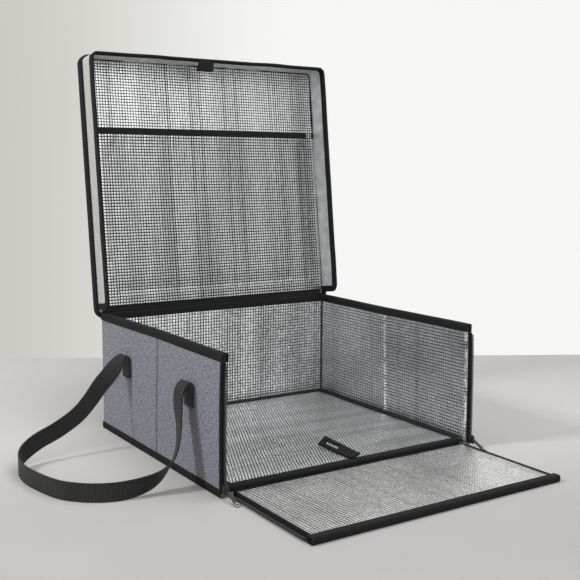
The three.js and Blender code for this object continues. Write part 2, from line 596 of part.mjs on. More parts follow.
const rightRearLeg = [
  [STRAP_START, 0, 1, 0, 1, 0],
  [13, 1, 0.92, 0, 1, 0],
  [22, 3, 0.8, 0, 1, 0.1],
  [29, 9, 0.63, 0.2, 0.9, 0.3],
  [39, 24, 0.4, 0.3, 0.6, 0.7],
  [57, 47, 0.19, 0.2, 0.25, 0.95],
  [86, 69, 0.06, 0, 0, 1],
  [121, 78, 0, 0, 0, 1],
  [154, 66, 0, 0, 0, 1],
  [176, 34, 0, 0, 0, 1],
  [182, -11, 0, 0, 0, 1],
];
const rightFrontLeg = [
  [STRAP_START, 0, 1, 0, -1, 0],
  [15, 1, 0.91, 0, -1, 0],
  [29, 2, 0.78, 0.2, -0.9, 0.1],
  [45, 6, 0.6, 0.5, -0.6, 0.4],
  [63, 14, 0.4, 0.5, -0.3, 0.8],
  [86, 33, 0.21, 0.3, 0, 0.95],
  [113, 66, 0.08, 0.1, 0, 1],
  [140, 105, 0.01, 0, 0, 1],
  [165, 150, 0, 0, 0, 1],
];
const strapFoot = STRAP_WIDE / 2 + TABLE_CLEAR;
const strapRise = PATCH_TOP + STRAP_LIFT - strapFoot;

function legPoints(hand, end, rows) {
  return rows.map(([out, back, rise, outward, backward, upward]) => ({
    at: new THREE.Vector3(hand * (SIDE + out), end + back, strapFoot + rise * strapRise),
    across: new THREE.Vector3(hand * outward, backward, upward),
  }));
}

const handles = [['left', -1, leftRearLeg, leftFrontLeg], ['right', 1, rightRearLeg, rightFrontLeg]];
for (const [side, hand, rearLeg, frontLeg] of handles) {
  for (const [end, y] of [['rear', HANDLE_REAR], ['front', -HANDLE_FRONT]]) {
    panel(carrier, `${side}_handle_${end}_end`, webLook, layer(hand, -PLY_GAP, -PLY_GAP - PATCH_THICK),
      [y - STRAP_WIDE / 2, y + STRAP_WIDE / 2], [PATCH_FOOT, PATCH_TOP]);
  }
  const route = [...legPoints(hand, HANDLE_REAR, rearLeg), ...legPoints(hand, -HANDLE_FRONT, frontLeg).reverse()];
  add(carrier, `${side}_handle_strap`, ribbon(route), webLook);
}

export default carrier;
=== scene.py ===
# %% [markdown]
# # Dressing an insulated casserole carrier
# The carrier stands open on a table: a cloth box lined with silver foil, a lid that leans back, a front
# wall folded down as a flap, a loose base board and two slack webbing handles. The solids hold its sizes,
# places and motion. This lesson sews the visible pieces over them, one kind of piece at a time, and gives
# each the finish of the real material.

import json
import math

import bpy
from mathutils import Matrix, Vector, noise

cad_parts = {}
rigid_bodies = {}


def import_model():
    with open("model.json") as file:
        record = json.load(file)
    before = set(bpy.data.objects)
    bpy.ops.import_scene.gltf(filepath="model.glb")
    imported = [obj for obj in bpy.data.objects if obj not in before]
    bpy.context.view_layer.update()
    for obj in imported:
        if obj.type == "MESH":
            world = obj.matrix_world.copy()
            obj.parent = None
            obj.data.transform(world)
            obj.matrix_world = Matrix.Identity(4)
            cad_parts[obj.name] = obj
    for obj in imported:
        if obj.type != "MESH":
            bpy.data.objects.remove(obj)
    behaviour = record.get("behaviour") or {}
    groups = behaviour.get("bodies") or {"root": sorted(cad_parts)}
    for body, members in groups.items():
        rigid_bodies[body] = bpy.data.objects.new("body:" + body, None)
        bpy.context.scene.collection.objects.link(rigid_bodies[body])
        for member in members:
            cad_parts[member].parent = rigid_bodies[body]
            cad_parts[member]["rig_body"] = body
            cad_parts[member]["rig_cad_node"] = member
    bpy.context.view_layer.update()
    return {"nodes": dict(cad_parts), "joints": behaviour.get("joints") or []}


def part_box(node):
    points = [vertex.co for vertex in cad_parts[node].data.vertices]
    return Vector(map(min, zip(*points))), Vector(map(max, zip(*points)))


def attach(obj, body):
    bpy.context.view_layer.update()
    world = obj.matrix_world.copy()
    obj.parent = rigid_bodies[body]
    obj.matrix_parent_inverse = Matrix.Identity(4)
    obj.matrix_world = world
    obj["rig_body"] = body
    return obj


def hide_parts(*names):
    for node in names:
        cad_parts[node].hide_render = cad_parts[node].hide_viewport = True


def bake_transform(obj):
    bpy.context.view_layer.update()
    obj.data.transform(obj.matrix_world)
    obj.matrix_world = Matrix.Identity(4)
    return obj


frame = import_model()
MM = 0.001
UP = Vector((0, 0, 1))
RIGHT = Vector((1, 0, 0))
BACK = Vector((0, 1, 0))

# %% [markdown]
# Sizes are read from the solids and not typed again, so every seam stays on its solid. A wall is a
# sandwich of cloth, board and lining, so its outer and inner faces come from different solids. The lid's
# solids are stored leaning back, and a tray is easier to draw shut, so a matrix turns shut places to open
# ones.

# %% Read the sizes
side_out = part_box("right_cloth")[1].x
side_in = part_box("right_lining")[0].x
wall_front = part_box("right_cloth")[0].y
wall_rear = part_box("right_cloth")[1].y
back_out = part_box("back_cloth")[1].y
back_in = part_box("back_lining")[0].y
ply_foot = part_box("right_cloth")[0].z
ply_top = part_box("right_cloth")[1].z
wall_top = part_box("right_top_binding")[1].z
binding_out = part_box("right_top_binding")[1].x - side_out
crease_y = (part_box("left_front_board")[1].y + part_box("left_rear_board")[0].y) / 2
joints = {joint["name"]: joint for joint in frame["joints"]}
lid_pivot = Vector(joints["lid_hinge"]["pos_m"])
lid_swing = math.radians(joints["lid_hinge"]["range_deg"][1])
to_pivot = Matrix.Translation(lid_pivot)
open_lid = to_pivot @ Matrix.Rotation(-lid_swing, 4, "X") @ to_pivot.inverted()


def shut_box(node):
    """The lowest and highest corners of a lid solid when the lid is shut."""
    back = open_lid.inverted()
    corners = [back @ vertex.co for vertex in frame["nodes"][node].data.vertices]
    low = Vector([min(corner[k] for corner in corners) for k in range(3)])
    high = Vector([max(corner[k] for corner in corners) for k in range(3)])
    return low, high


print("walls", round(2 * side_out / MM), "wide,", round(wall_top / MM), "high")

# %% [markdown]
# The camera stands low and to the left, as a photographer's would. Its place, direction and focal length
# were found by matching the corners of the box, the flap and the lid with those in the photograph. Depth
# of field stays off.

# %% Camera
PHOTO_PIXELS = 580
FOCAL_PIXELS = 945
SENSOR = 36.0
EYE = Vector((-0.7825, -1.2172, 0.4245))
YAW = math.radians(33.25)
PITCH = math.radians(7.54)
CAMERA_ROLL = math.radians(0.34)
bpy.ops.object.select_all(action="DESELECT")
bpy.ops.object.camera_add(location=EYE)
camera = bpy.context.object
turned = Matrix.Rotation(-YAW, 3, "Z")
tipped = Matrix.Rotation(math.pi / 2 - PITCH, 3, "X")
aim = turned @ tipped @ Matrix.Rotation(CAMERA_ROLL, 3, "Z")
camera.rotation_euler = aim.to_euler()
camera.data.sensor_width = SENSOR
camera.data.lens = SENSOR * FOCAL_PIXELS / PHOTO_PIXELS
bpy.context.scene.camera = camera
bpy.context.scene.view_settings.view_transform = "Standard"
print("lens", round(camera.data.lens, 1), "mm")

# %% [markdown]
# The stage is a plain pale floor that ends where the photograph's wall begins. What lies beyond it is a
# pale surround, a little darker to the left. The surround is shown to the camera and to glossy rays at
# its own tone, and lights the cloth more gently, so that metal reflects what the eye sees behind it.

# %% Floor and surround
FLOOR_WIDE = 6.0
FLOOR_NEAR = 4.0
FLOOR_FAR = 2.074
FLOOR_SKEW = 0.0615
FLOOR_TONE = (0.412, 0.406, 0.400)
ahead = Vector((math.sin(YAW), math.cos(YAW), 0))
beside = Vector((math.cos(YAW), -math.sin(YAW), 0))
bpy.ops.mesh.primitive_plane_add(size=1)
floor = bpy.context.object
floor.name = "floor"
eye_foot = Vector((EYE.x, EYE.y, 0))
for vertex in floor.data.vertices:
    along_edge = vertex.co.x * FLOOR_WIDE
    reach = FLOOR_FAR + FLOOR_SKEW * along_edge if vertex.co.y > 0 else -FLOOR_NEAR
    vertex.co = eye_foot + ahead * reach + beside * along_edge
print("floor", FLOOR_WIDE, "m wide")

# %% [markdown]
# Materials are small graphs of nodes, and short helpers keep them readable: they add a node, join a value
# or another node's output to a socket, do arithmetic, stretch a noise, colour a value and turn a height
# into relief. A value that is the same all over a surface is set on the shader's own socket.

# %% Node helpers
TURN = 2 * math.pi


def node(tree, kind, **settings):
    made = tree.nodes.new("ShaderNode" + kind)
    for key, value in settings.items():
        setattr(made, key, value)
    return made


def wire(tree, value, socket):
    if isinstance(value, bpy.types.NodeSocket):
        tree.links.new(value, socket)
    else:
        socket.default_value = value


def calc(tree, operation, *values):
    made = node(tree, "Math", operation=operation)
    for value, socket in zip(values, made.inputs):
        wire(tree, value, socket)
    return made.outputs[0]


def vector_calc(tree, operation, *values):
    made = node(tree, "VectorMath", operation=operation)
    sockets = (made.inputs[0], made.inputs["Scale"]) if operation == "SCALE" else made.inputs
    for value, socket in zip(values, sockets):
        wire(tree, value, socket)
    if operation == "DOT_PRODUCT":
        return made.outputs["Value"]
    return made.outputs["Vector"]


def stretched_noise(tree, where, stretch, detail):
    scaled = vector_calc(tree, "MULTIPLY", where, stretch)
    made = node(tree, "TexNoise")
    wire(tree, scaled, made.inputs["Vector"])
    made.inputs["Scale"].default_value = 1.0
    made.inputs["Detail"].default_value = detail
    return made.outputs["Fac"]


def ramp(tree, value, stops):
    made = node(tree, "ValToRGB")
    while len(made.color_ramp.elements) < len(stops):
        made.color_ramp.elements.new(0.5)
    for element, (place, color) in zip(made.color_ramp.elements, stops):
        element.position = place
        element.color = (*color, 1)
    wire(tree, value, made.inputs["Fac"])
    return made.outputs["Color"]


def relief(tree, shader, height, distance, strength=1.0):
    made = node(tree, "Bump")
    made.inputs["Distance"].default_value = distance
    made.inputs["Strength"].default_value = strength
    wire(tree, height, made.inputs["Height"])
    wire(tree, made.outputs["Normal"], shader.inputs["Normal"])


def spread(tree, value, low, high):
    """Map a value between 0 and 1 to the range from low to high."""
    return calc(tree, "MULTIPLY_ADD", value, high - low, low)


def soft_share(tree, value, low, high):
    """Rise softly from 0 to 1 while the value goes from low to high."""
    made = node(tree, "MapRange", interpolation_type="SMOOTHSTEP")
    wire(tree, value, made.inputs["Value"])
    made.inputs["From Min"].default_value = low
    made.inputs["From Max"].default_value = high
    return made.outputs["Result"]


def wave(tree, value, pitch):
    return calc(tree, "SINE", calc(tree, "MULTIPLY", value, TURN / pitch))


def split(tree, vector):
    made = node(tree, "SeparateXYZ")
    wire(tree, vector, made.inputs[0])
    return made.outputs["X"], made.outputs["Y"]


def start_finish(name, roughness, metallic=0.0):
    """A new material with its tree, its shader and the coordinates of the flat cut piece, in metres."""
    material = bpy.data.materials.new(name)
    material.use_nodes = True
    tree = material.node_tree
    shader = tree.nodes["Principled BSDF"]
    shader.inputs["Roughness"].default_value = roughness
    shader.inputs["Metallic"].default_value = metallic
    cut = node(tree, "TexCoord").outputs["UV"]
    return material, tree, shader, cut


print("node helpers ready")

# %% [markdown]
# The surround is one world shader: a pale background for what the camera sees and what the foil mirrors,
# and a weaker plain light for everything else. Far off it is lightest beyond the carrier's right side and
# darker to the left, and on the photographer's side it is white.

# %% World
SURROUND_STOPS = [(0.0, (0.60, 0.59, 0.555)), (1.0, (0.925, 0.925, 0.905))]
NEAR_TONE = (0.97, 0.97, 0.97)
SIDEWAYS_SPAN = (-0.30, 0.02)
FAR_SPAN = (0.3, 0.85)
AMBIENT = 0.36
AMBIENT_TINT = (1, 0.995, 0.985, 1)
world = bpy.context.scene.world or bpy.data.worlds.new("surround")
bpy.context.scene.world = world
world.use_nodes = True
tree = world.node_tree
direction = node(tree, "TexCoord").outputs["Generated"]
sideways = soft_share(tree, vector_calc(tree, "DOT_PRODUCT", direction, beside), *SIDEWAYS_SPAN)
far_off = soft_share(tree, vector_calc(tree, "DOT_PRODUCT", direction, ahead), *FAR_SPAN)
seen = node(tree, "Background")
tone = node(tree, "Mix", data_type="RGBA")
wire(tree, far_off, tone.inputs["Factor"])
tone.inputs["A"].default_value = (*NEAR_TONE, 1)
wire(tree, ramp(tree, sideways, SURROUND_STOPS), tone.inputs["B"])
wire(tree, tone.outputs["Result"], seen.inputs["Color"])
soft = tree.nodes["Background"]
soft.inputs["Color"].default_value = AMBIENT_TINT
soft.inputs["Strength"].default_value = AMBIENT
path = node(tree, "LightPath").outputs
shown = calc(tree, "MAXIMUM", path["Is Camera Ray"], path["Is Glossy Ray"])
shown = calc(tree, "MAXIMUM", shown, path["Is Transmission Ray"])
blend = node(tree, "MixShader")
wire(tree, shown, blend.inputs["Fac"])
wire(tree, soft.outputs["Background"], blend.inputs[1])
wire(tree, seen.outputs["Background"], blend.inputs[2])
wire(tree, blend.outputs["Shader"], tree.nodes["World Output"].inputs["Surface"])
print("surround", world.name)

# %% [markdown]
# The floor is a matt pale grey with faint mottling, and its colour is painted paler further back, as
# painted light where the lamps' light falls off. Three square lamps light the carrier: a small one high
# on the left draws the shadows, and broad ones in front and above soften them.

# %% Floor finish and lamps
FLOOR_ROUGH = 0.85
FLOOR_SPECULAR = 0.2
MOTTLE_SCALE = (9, 9, 9)
MOTTLE_DARK = 0.97
PAINTED_LIGHT_SPAN = (-0.38, 0.15)
PAINTED_LIGHT_FAR = 1.40
floor_finish, tree, shader, cut = start_finish("pale_floor", FLOOR_ROUGH)
where = node(tree, "TexCoord").outputs["Object"]
mottle = stretched_noise(tree, where, MOTTLE_SCALE, 3.0)
low_tone = tuple(MOTTLE_DARK * value for value in FLOOR_TONE)
# painted light: the floor's colour is made paler further back, where the lamps' light falls off
further = soft_share(tree, vector_calc(tree, "DOT_PRODUCT", where, ahead), *PAINTED_LIGHT_SPAN)
painted = ramp(tree, mottle, [(0.3, low_tone), (0.7, FLOOR_TONE)])
painted = vector_calc(tree, "SCALE", painted, spread(tree, further, 1.0, PAINTED_LIGHT_FAR))
wire(tree, painted, shader.inputs["Base Color"])
shader.inputs["Specular IOR Level"].default_value = FLOOR_SPECULAR
floor.data.materials.append(floor_finish)

LAMPS = (
    ("key_lamp", (-1.75, 0.30, 1.6), 0.42, 29.0),
    ("front_lamp", (-0.5, -2.4, 1.5), 1.8, 28.0),
    ("top_lamp", (0.45, -0.5, 2.3), 1.5, 27.0),
)
LAMP_TARGET = Vector((0, -0.05, 0.2))
for lamp_name, place, size, power in LAMPS:
    bpy.ops.object.light_add(type="AREA", location=place)
    lamp = bpy.context.object
    lamp.name = lamp_name
    lamp.data.shape = "SQUARE"
    lamp.data.size = size
    lamp.data.energy = power
    lamp.rotation_euler = (LAMP_TARGET - lamp.location).to_track_quat("-Z", "Y").to_euler()
print("lamps", len(LAMPS))

# %% [markdown]
# The outer cloth is a heather weave: pale and dark grey fibres are spun together, so it shows short
# streaks along both thread directions. Two noises, each stretched along one direction, give the streaks,
# and a fine sine relief gives the plain weave. On the side walls the cloth is painted darker along its
# crease as painted shade, where the fold's shadow falls.

# %% Heather cloth
YARN_LONG = 110
YARN_FINE = 1250
FLECK = 420
FIBRE_SHARE = 0.3
FLECK_SHARE = 0.4
YARN_PLACES = (0.38, 0.5, 0.62)
WEAVE_PITCH = 0.9 * MM
WEAVE_DEPTH = 0.12 * MM
CREASE_SHADE_SPAN = (0.6 * MM, 4.2 * MM)
CREASE_SHADE_TONE = 0.52


def heather_cloth(name, tones, crease_shaded=False):
    material, tree, shader, cut = start_finish(name, 0.92)
    weft = stretched_noise(tree, cut, (YARN_LONG, YARN_FINE, 1), 3.0)
    warp = stretched_noise(tree, cut, (YARN_FINE, YARN_LONG, 1), 3.0)
    flecks = stretched_noise(tree, cut, (FLECK, FLECK, 1), 2.0)
    fibres = calc(tree, "MULTIPLY", calc(tree, "ADD", weft, warp), FIBRE_SHARE)
    fibres = calc(tree, "MULTIPLY_ADD", flecks, FLECK_SHARE, fibres)
    yarn = ramp(tree, fibres, list(zip(YARN_PLACES, tones)))
    along, up = split(tree, cut)
    # painted shade: the cloth is darkened along the crease, where the fold's shadow falls
    if crease_shaded:
        unshaded_share = spread(tree, soft_share(tree, calc(tree, "ABSOLUTE", along), *CREASE_SHADE_SPAN), CREASE_SHADE_TONE, 1.0)
        yarn = vector_calc(tree, "SCALE", yarn, unshaded_share)
    wire(tree, yarn, shader.inputs["Base Color"])
    weave = calc(tree, "MULTIPLY", wave(tree, along, WEAVE_PITCH), wave(tree, up, WEAVE_PITCH))
    relief(tree, shader, calc(tree, "ADD", weave, fibres), WEAVE_DEPTH, 0.7)
    shader.inputs["Sheen Weight"].default_value = 0.1
    shader.inputs["Sheen Roughness"].default_value = 0.5
    shader.inputs["Specular IOR Level"].default_value = 0.25
    return material


HEATHER = ((0.075, 0.075, 0.098), (0.200, 0.200, 0.240), (0.43, 0.43, 0.48))
# painted light: a paler copy of the heather for the lid's skirt, standing in for the key lamp falling on it
LIT_HEATHER = ((0.33, 0.325, 0.315), (0.49, 0.485, 0.47), (0.62, 0.615, 0.60))
heather = heather_cloth("heather_cloth", HEATHER)
crease_shaded_heather = heather_cloth("crease_shaded_heather", HEATHER, crease_shaded=True)
lit_heather = heather_cloth("lit_heather", LIT_HEATHER)
print("finishes", heather.name, crease_shaded_heather.name, lit_heather.name)

# %% [markdown]
# The lining is silver film on foam, pressed into a grid of small pillows that lean a little, each its own
# way. Dull grooves run between the rows and the columns, and here and there a column's groove is pressed
# wider and shows as a dark streak. The pattern follows the cut of each panel. Slow bands of painted shade,
# standing in for the changing reflections of the wavy film, run along one direction, which differs from
# panel to panel, so one function makes the finish for each. On the side walls a painted highlight in
# broken dashes lies over the crease and along the front edge, and the base board's film is cut off the
# grain. The pocket's film is a darker copy, painted shade for the lesser light it gets. The lid's skirt is
# lined with the same film left smooth, its tone painted darker in the hollows of its creases.

# %% Grid foil
FOIL_DOME = 0.38 * MM
FOIL_METAL = 0.8
FOIL_TINT = (0.985, 1.0, 1.0)
HALF_CELL = (0.5, 0.5, 0.5)
GROOVE_SPAN = (0.28, 0.44)
FINE_GROOVE = (0.33, 0.47)
PRESSED_WIDER = 0.07
CELL_TILT = 0.25
CRUMPLE_SHARE = 0.8
WORN_SPAN = (0.3, 0.7)
WORN_RANGE = (0.9, 1.15)
PRESSED_SPAN = (0.74, 0.98)
PRESSED_DARKER = 2.0
SHADE_BAND_SPAN = (0.36, 0.6)
FLASH_RANGE = (0.86, 1.08)
HIGHLIGHT_BREAKUP_SCALE = (90, 60, 1)
HIGHLIGHT_BREAKUP_SPAN = (0.36, 0.56)
HIGHLIGHT_GROOVE_CUT = 0.75
GLOSS_RANGE = (0.22, 0.4)


def arch(tree, value):
    return calc(tree, "MULTIPLY_ADD", calc(tree, "MULTIPLY", value, value), -4.0, 1.0)


def grid_foil(name, pitch, tones, lines, bands, shade_band_low, tint=FOIL_TINT, highlight_strips=(), off_grain=0.0,
              span=GROOVE_SPAN, deeper=PRESSED_WIDER, dome_high=FOIL_DOME, tilted=CELL_TILT):
    """Foil from its pitch, groove and crest tones, the strength of its columns and rows, its bands of
    painted shade and any strips of painted highlight.
    """
    groove, crest = tones
    material, tree, shader, cut = start_finish(name, 0.28, FOIL_METAL)
    grain = node(tree, "VectorRotate", rotation_type="Z_AXIS")
    wire(tree, cut, grain.inputs["Vector"])
    grain.inputs["Angle"].default_value = off_grain
    cells = vector_calc(tree, "MULTIPLY", grain.outputs["Vector"], (1 / pitch, 1 / pitch, 1))
    inside = vector_calc(tree, "SUBTRACT", vector_calc(tree, "FRACTION", cells), HALF_CELL)
    number = vector_calc(tree, "FLOOR", cells)
    chance = node(tree, "TexWhiteNoise", noise_dimensions="3D")
    wire(tree, number, chance.inputs["Vector"])
    column = node(tree, "TexWhiteNoise", noise_dimensions="1D")
    wire(tree, split(tree, number)[0], column.inputs["W"])
    across, up = split(tree, inside)
    dome = calc(tree, "MULTIPLY", arch(tree, across), arch(tree, up))
    crumple = stretched_noise(tree, cut, (3 * bands[0], 3 * bands[1], 1), 3.0)
    lean = vector_calc(tree, "SUBTRACT", chance.outputs["Color"], HALF_CELL)
    tilt = vector_calc(tree, "DOT_PRODUCT", inside, lean)
    height = calc(tree, "MULTIPLY_ADD", tilt, tilted, dome)
    relief(tree, shader, calc(tree, "MULTIPLY_ADD", crumple, CRUMPLE_SHARE, height), dome_high)
    worn = soft_share(tree, stretched_noise(tree, cut, (2 * bands[0], 2 * bands[1], 1), 2.0), *WORN_SPAN)
    worn = spread(tree, worn, *WORN_RANGE)
    pressed = soft_share(tree, column.outputs["Value"], *PRESSED_SPAN)
    streak = spread(tree, pressed, lines[0], PRESSED_DARKER * lines[0])
    widened = calc(tree, "MULTIPLY_ADD", pressed, deeper, calc(tree, "ABSOLUTE", across))
    gap_across = calc(tree, "MULTIPLY", soft_share(tree, widened, *span), streak)
    gap_up = calc(tree, "MULTIPLY", soft_share(tree, calc(tree, "ABSOLUTE", up), *span), lines[1])
    shade = calc(tree, "MULTIPLY", calc(tree, "MAXIMUM", gap_across, gap_up), worn)
    shade = calc(tree, "MINIMUM", shade, 1.0)
    tone = calc(tree, "MULTIPLY_ADD", shade, groove - crest, crest)
    # painted shade: slow bands darken the film's tone, standing in for the changing reflections of its
    # waves
    band = stretched_noise(tree, cut, bands, 2.0)
    band = spread(tree, soft_share(tree, band, *SHADE_BAND_SPAN), shade_band_low, 1.0)
    flash = calc(tree, "MULTIPLY", spread(tree, chance.outputs["Value"], *FLASH_RANGE), band)
    tone = calc(tree, "MULTIPLY", tone, flash)
    highlight_breakup = soft_share(tree, stretched_noise(tree, cut, HIGHLIGHT_BREAKUP_SCALE, 3.0), *HIGHLIGHT_BREAKUP_SPAN)
    # painted highlight: bright dashed strips over the side walls' crease and along their front edge,
    # standing in for the lamps' glints on the film
    for middle, width in highlight_strips:
        from_middle = calc(tree, "ABSOLUTE", split(tree, cut)[0])
        off = calc(tree, "ABSOLUTE", calc(tree, "SUBTRACT", from_middle, middle))
        painted_highlight = calc(tree, "SUBTRACT", 1.0, soft_share(tree, off, 0.4 * width, width))
        painted_highlight = calc(tree, "MULTIPLY", painted_highlight, highlight_breakup)
        painted_highlight = calc(tree, "MULTIPLY", painted_highlight, calc(tree, "MULTIPLY_ADD", gap_up, -HIGHLIGHT_GROOVE_CUT, 1.0))
        tone = calc(tree, "MAXIMUM", tone, painted_highlight)
    wire(tree, vector_calc(tree, "SCALE", tint, tone), shader.inputs["Base Color"])
    wire(tree, spread(tree, shade, *GLOSS_RANGE), shader.inputs["Roughness"])
    return material


def smooth_foil(name, low, high):
    """The same film without its grid, with soft creases whose hollows are painted darker as painted shade.
    """
    material, tree, shader, cut = start_finish(name, 0.45, 0.55)
    crumple = stretched_noise(tree, cut, (70, 45, 1), 3.0)
    # painted shade: the tone follows the crease noise that also drives the relief, darker in its hollows
    wire(tree, ramp(tree, crumple, [(0.3, low), (0.7, high)]), shader.inputs["Base Color"])
    relief(tree, shader, crumple, 1.0 * MM)
    return material


UPRIGHT = (28, 2.5, 1)
LEVEL = (3, 34, 1)
PATCHY = (9, 12, 1)
COOL_TINT = (0.965, 0.99, 1.0)
WARM_TINT = (1.0, 0.995, 0.98)
OFF_GRAIN = math.radians(24)
SIDE_HIGHLIGHT_STRIPS = ((0.0, 4.5 * MM), (191 * MM, 7.0 * MM))
lid_foil = grid_foil("lid_foil", 4.7 * MM, (0.0, 0.93), (1.0, 1.0), UPRIGHT, 0.86)
# painted shade: the pocket's film is a darker copy of the lid's, for the lesser light that reaches it
shaded_pocket_foil = grid_foil("shaded_pocket_foil", 4.88 * MM, (0.0, 0.70), (1.2, 1.25), UPRIGHT, 0.74)
wall_foil = grid_foil("wall_foil", 5.2 * MM, (0.0, 1.0), (1.0, 1.0), UPRIGHT, 0.82, span=(0.31, 0.45),
                      dome_high=0.6 * MM, tilted=0.6)
side_foil = grid_foil("side_foil", 5.15 * MM, (0.04, 0.72), (0.45, 1.0), PATCHY, 0.78, COOL_TINT, SIDE_HIGHLIGHT_STRIPS)
base_foil = grid_foil("base_foil", 4.4 * MM, (0.0, 0.98), (1.2, 0.4), LEVEL, 0.72, off_grain=OFF_GRAIN,
                      deeper=0.0)
flap_foil = grid_foil("flap_foil", 4.84 * MM, (0.0, 1.0), (1.1, 0.85), PATCHY, 0.88, WARM_TINT,
                      span=FINE_GROOVE)
skirt_foil = smooth_foil("skirt_foil", (0.60, 0.61, 0.62), (0.87, 0.88, 0.885))
foils = (lid_foil, shaded_pocket_foil, wall_foil, side_foil, base_foil, flap_foil, skirt_foil)
print("foils", [foil.name for foil in foils])

# %% [markdown]
# Three black woven tapes look different close up: the edge binding has fine ribs across it, the handle
# webbing has thick ribs across it, and the zip tape has a herringbone. One function makes all three from
# their ribs along the tape and their picks across it, and each keeps its own tone and gloss.

# %% Binding, webbing and zip tape
PALE_RIB = 4.5
WORN_RIB = 0.22
FUZZ_SCALE = (700, 700, 1)
FUZZ_SHARE = 0.8
TAPE_TONE = (0.005, 0.005, 0.0055)
TAPE_GLOSS = (0.75, 0.12)
WEBBING_TONE = (0.0088, 0.0086, 0.0084)
WEBBING_GLOSS = (0.5, 0.35)


def woven_black(name, tone, gloss, rib, pick, slant, depth):
    """Woven tape: gloss is roughness and specular level, rib and pick are a pitch and a weight each."""
    roughness, specular = gloss
    material, tree, shader, cut = start_finish(name, roughness)
    across, along = split(tree, cut)
    ribs = wave(tree, across, rib[0])
    slanted = calc(tree, "MULTIPLY_ADD", ribs, slant, along)
    picks = wave(tree, slanted, pick[0])
    fuzz = stretched_noise(tree, cut, FUZZ_SCALE, 3.0)
    height = calc(tree, "MULTIPLY_ADD", picks, pick[1], calc(tree, "MULTIPLY", ribs, rib[1]))
    relief(tree, shader, calc(tree, "MULTIPLY_ADD", fuzz, FUZZ_SHARE, height), depth)
    pale = tuple(PALE_RIB * value for value in tone)
    worn = calc(tree, "MULTIPLY_ADD", picks, WORN_RIB * pick[1], fuzz)
    wire(tree, ramp(tree, worn, [(0.3, tone), (0.75, pale)]), shader.inputs["Base Color"])
    shader.inputs["Specular IOR Level"].default_value = specular
    return material


binding_tape = woven_black("binding_tape", TAPE_TONE, TAPE_GLOSS, rib=(3.2 * MM, 1.0), pick=(0.9 * MM, 0.9),
                           slant=0.0, depth=0.12 * MM)
webbing = woven_black("webbing", WEBBING_TONE, WEBBING_GLOSS, rib=(3.1 * MM, 0.4), pick=(2.9 * MM, 1.8),
                      slant=0.25 * MM, depth=0.5 * MM)
zip_tape = woven_black("zip_tape", TAPE_TONE, TAPE_GLOSS, rib=(1.6 * MM, 1.0), pick=(0.7 * MM, 0.9),
                       slant=0.3 * MM, depth=0.1 * MM)
print("finishes", binding_tape.name, webbing.name, zip_tape.name)

# %% [markdown]
# The small hard pieces need finishes too: dark enamel for sliders and pulls, dull steel for the eyelets,
# moulded nylon for the zip teeth, thread for the stitches and grey board for the underside of the base.
# Each is speckled between two tones and two roughnesses by one fine noise.

# %% Enamel, steel, nylon, thread and board
ENAMEL_TONES = ((0.006, 0.006, 0.007), (0.02, 0.02, 0.022))
STEEL_TONES = ((0.24, 0.24, 0.24), (0.38, 0.38, 0.375))
NYLON_TONES = ((0.012, 0.012, 0.013), (0.03, 0.03, 0.032))
THREAD_TONES = ((0.008, 0.008, 0.009), (0.03, 0.03, 0.03))
BOARD_TONES = ((0.20, 0.195, 0.18), (0.32, 0.31, 0.29))


def speckled(name, tones, roughness, metallic, scale, depth):
    material, tree, shader, _ = start_finish(name, roughness[0], metallic)
    where = node(tree, "TexCoord").outputs["Object"]
    grain = stretched_noise(tree, where, (scale, scale, scale), 4.0)
    wire(tree, ramp(tree, grain, [(0.35, tones[0]), (0.7, tones[1])]), shader.inputs["Base Color"])
    wire(tree, spread(tree, grain, *roughness), shader.inputs["Roughness"])
    relief(tree, shader, grain, depth)
    return material


enamel = speckled("zip_enamel", ENAMEL_TONES, (0.45, 0.6), 0.1, 900, 0.03 * MM)
steel = speckled("dull_eyelet", STEEL_TONES, (0.3, 0.5), 0.95, 700, 0.02 * MM)
nylon = speckled("zip_nylon", NYLON_TONES, (0.35, 0.55), 0.0, 800, 0.03 * MM)
thread = speckled("black_thread", THREAD_TONES, (0.6, 0.85), 0.0, 2500, 0.05 * MM)
grey_board = speckled("grey_board", BOARD_TONES, (0.7, 0.9), 0.0, 350, 0.1 * MM)
print("finishes", enamel.name, steel.name, nylon.name, thread.name, grey_board.name)

# %% [markdown]
# A sewn piece starts as a flat cut. So one helper adds a grid the size of the cut and stores each point's
# flat place as its texture coordinate, which the weave and the foil follow afterwards. Another helper
# moves every point of the flat cut to its place on the carrier.

# %% Panel helpers


def deselect():
    if bpy.context.mode != "OBJECT":
        bpy.ops.object.mode_set(mode="OBJECT")
    bpy.ops.object.select_all(action="DESELECT")


def choose(piece):
    deselect()
    bpy.context.view_layer.objects.active = piece
    piece.select_set(True)


def flat_cut(name, width, length, columns, rows):
    deselect()
    bpy.ops.mesh.primitive_grid_add(x_subdivisions=columns, y_subdivisions=rows, size=1)
    piece = bpy.context.object
    piece.name = name
    piece.scale = (width, length, 1)
    bpy.ops.object.transform_apply(location=False, rotation=False, scale=True)
    chart = piece.data.uv_layers.active.data
    for loop in piece.data.loops:
        chart[loop.index].uv = piece.data.vertices[loop.vertex_index].co.xy
    return piece


def place(piece, where):
    for vertex in piece.data.vertices:
        vertex.co = where(vertex.co.x, vertex.co.y)
    piece.data.update()


def turn(piece, matrix):
    piece.data.transform(matrix)
    piece.data.update()


print("panel helpers ready")

# %% [markdown]
# Sewing a piece is the same for all of them: Solidify gives it a thickness, which closes it, and a piece
# that was drawn with the lid shut is turned open. Then its shading is smoothed and it is given its
# finish, its slot and its body. A detail that repeats, such as a tooth or a stitch, is one shape and an
# Array modifier.

# %% Sewing helpers
SOFT_ANGLE = 40
STRAP_ANGLE = 50
FOLD_ANGLE = 60
WELD = 0.01 * MM


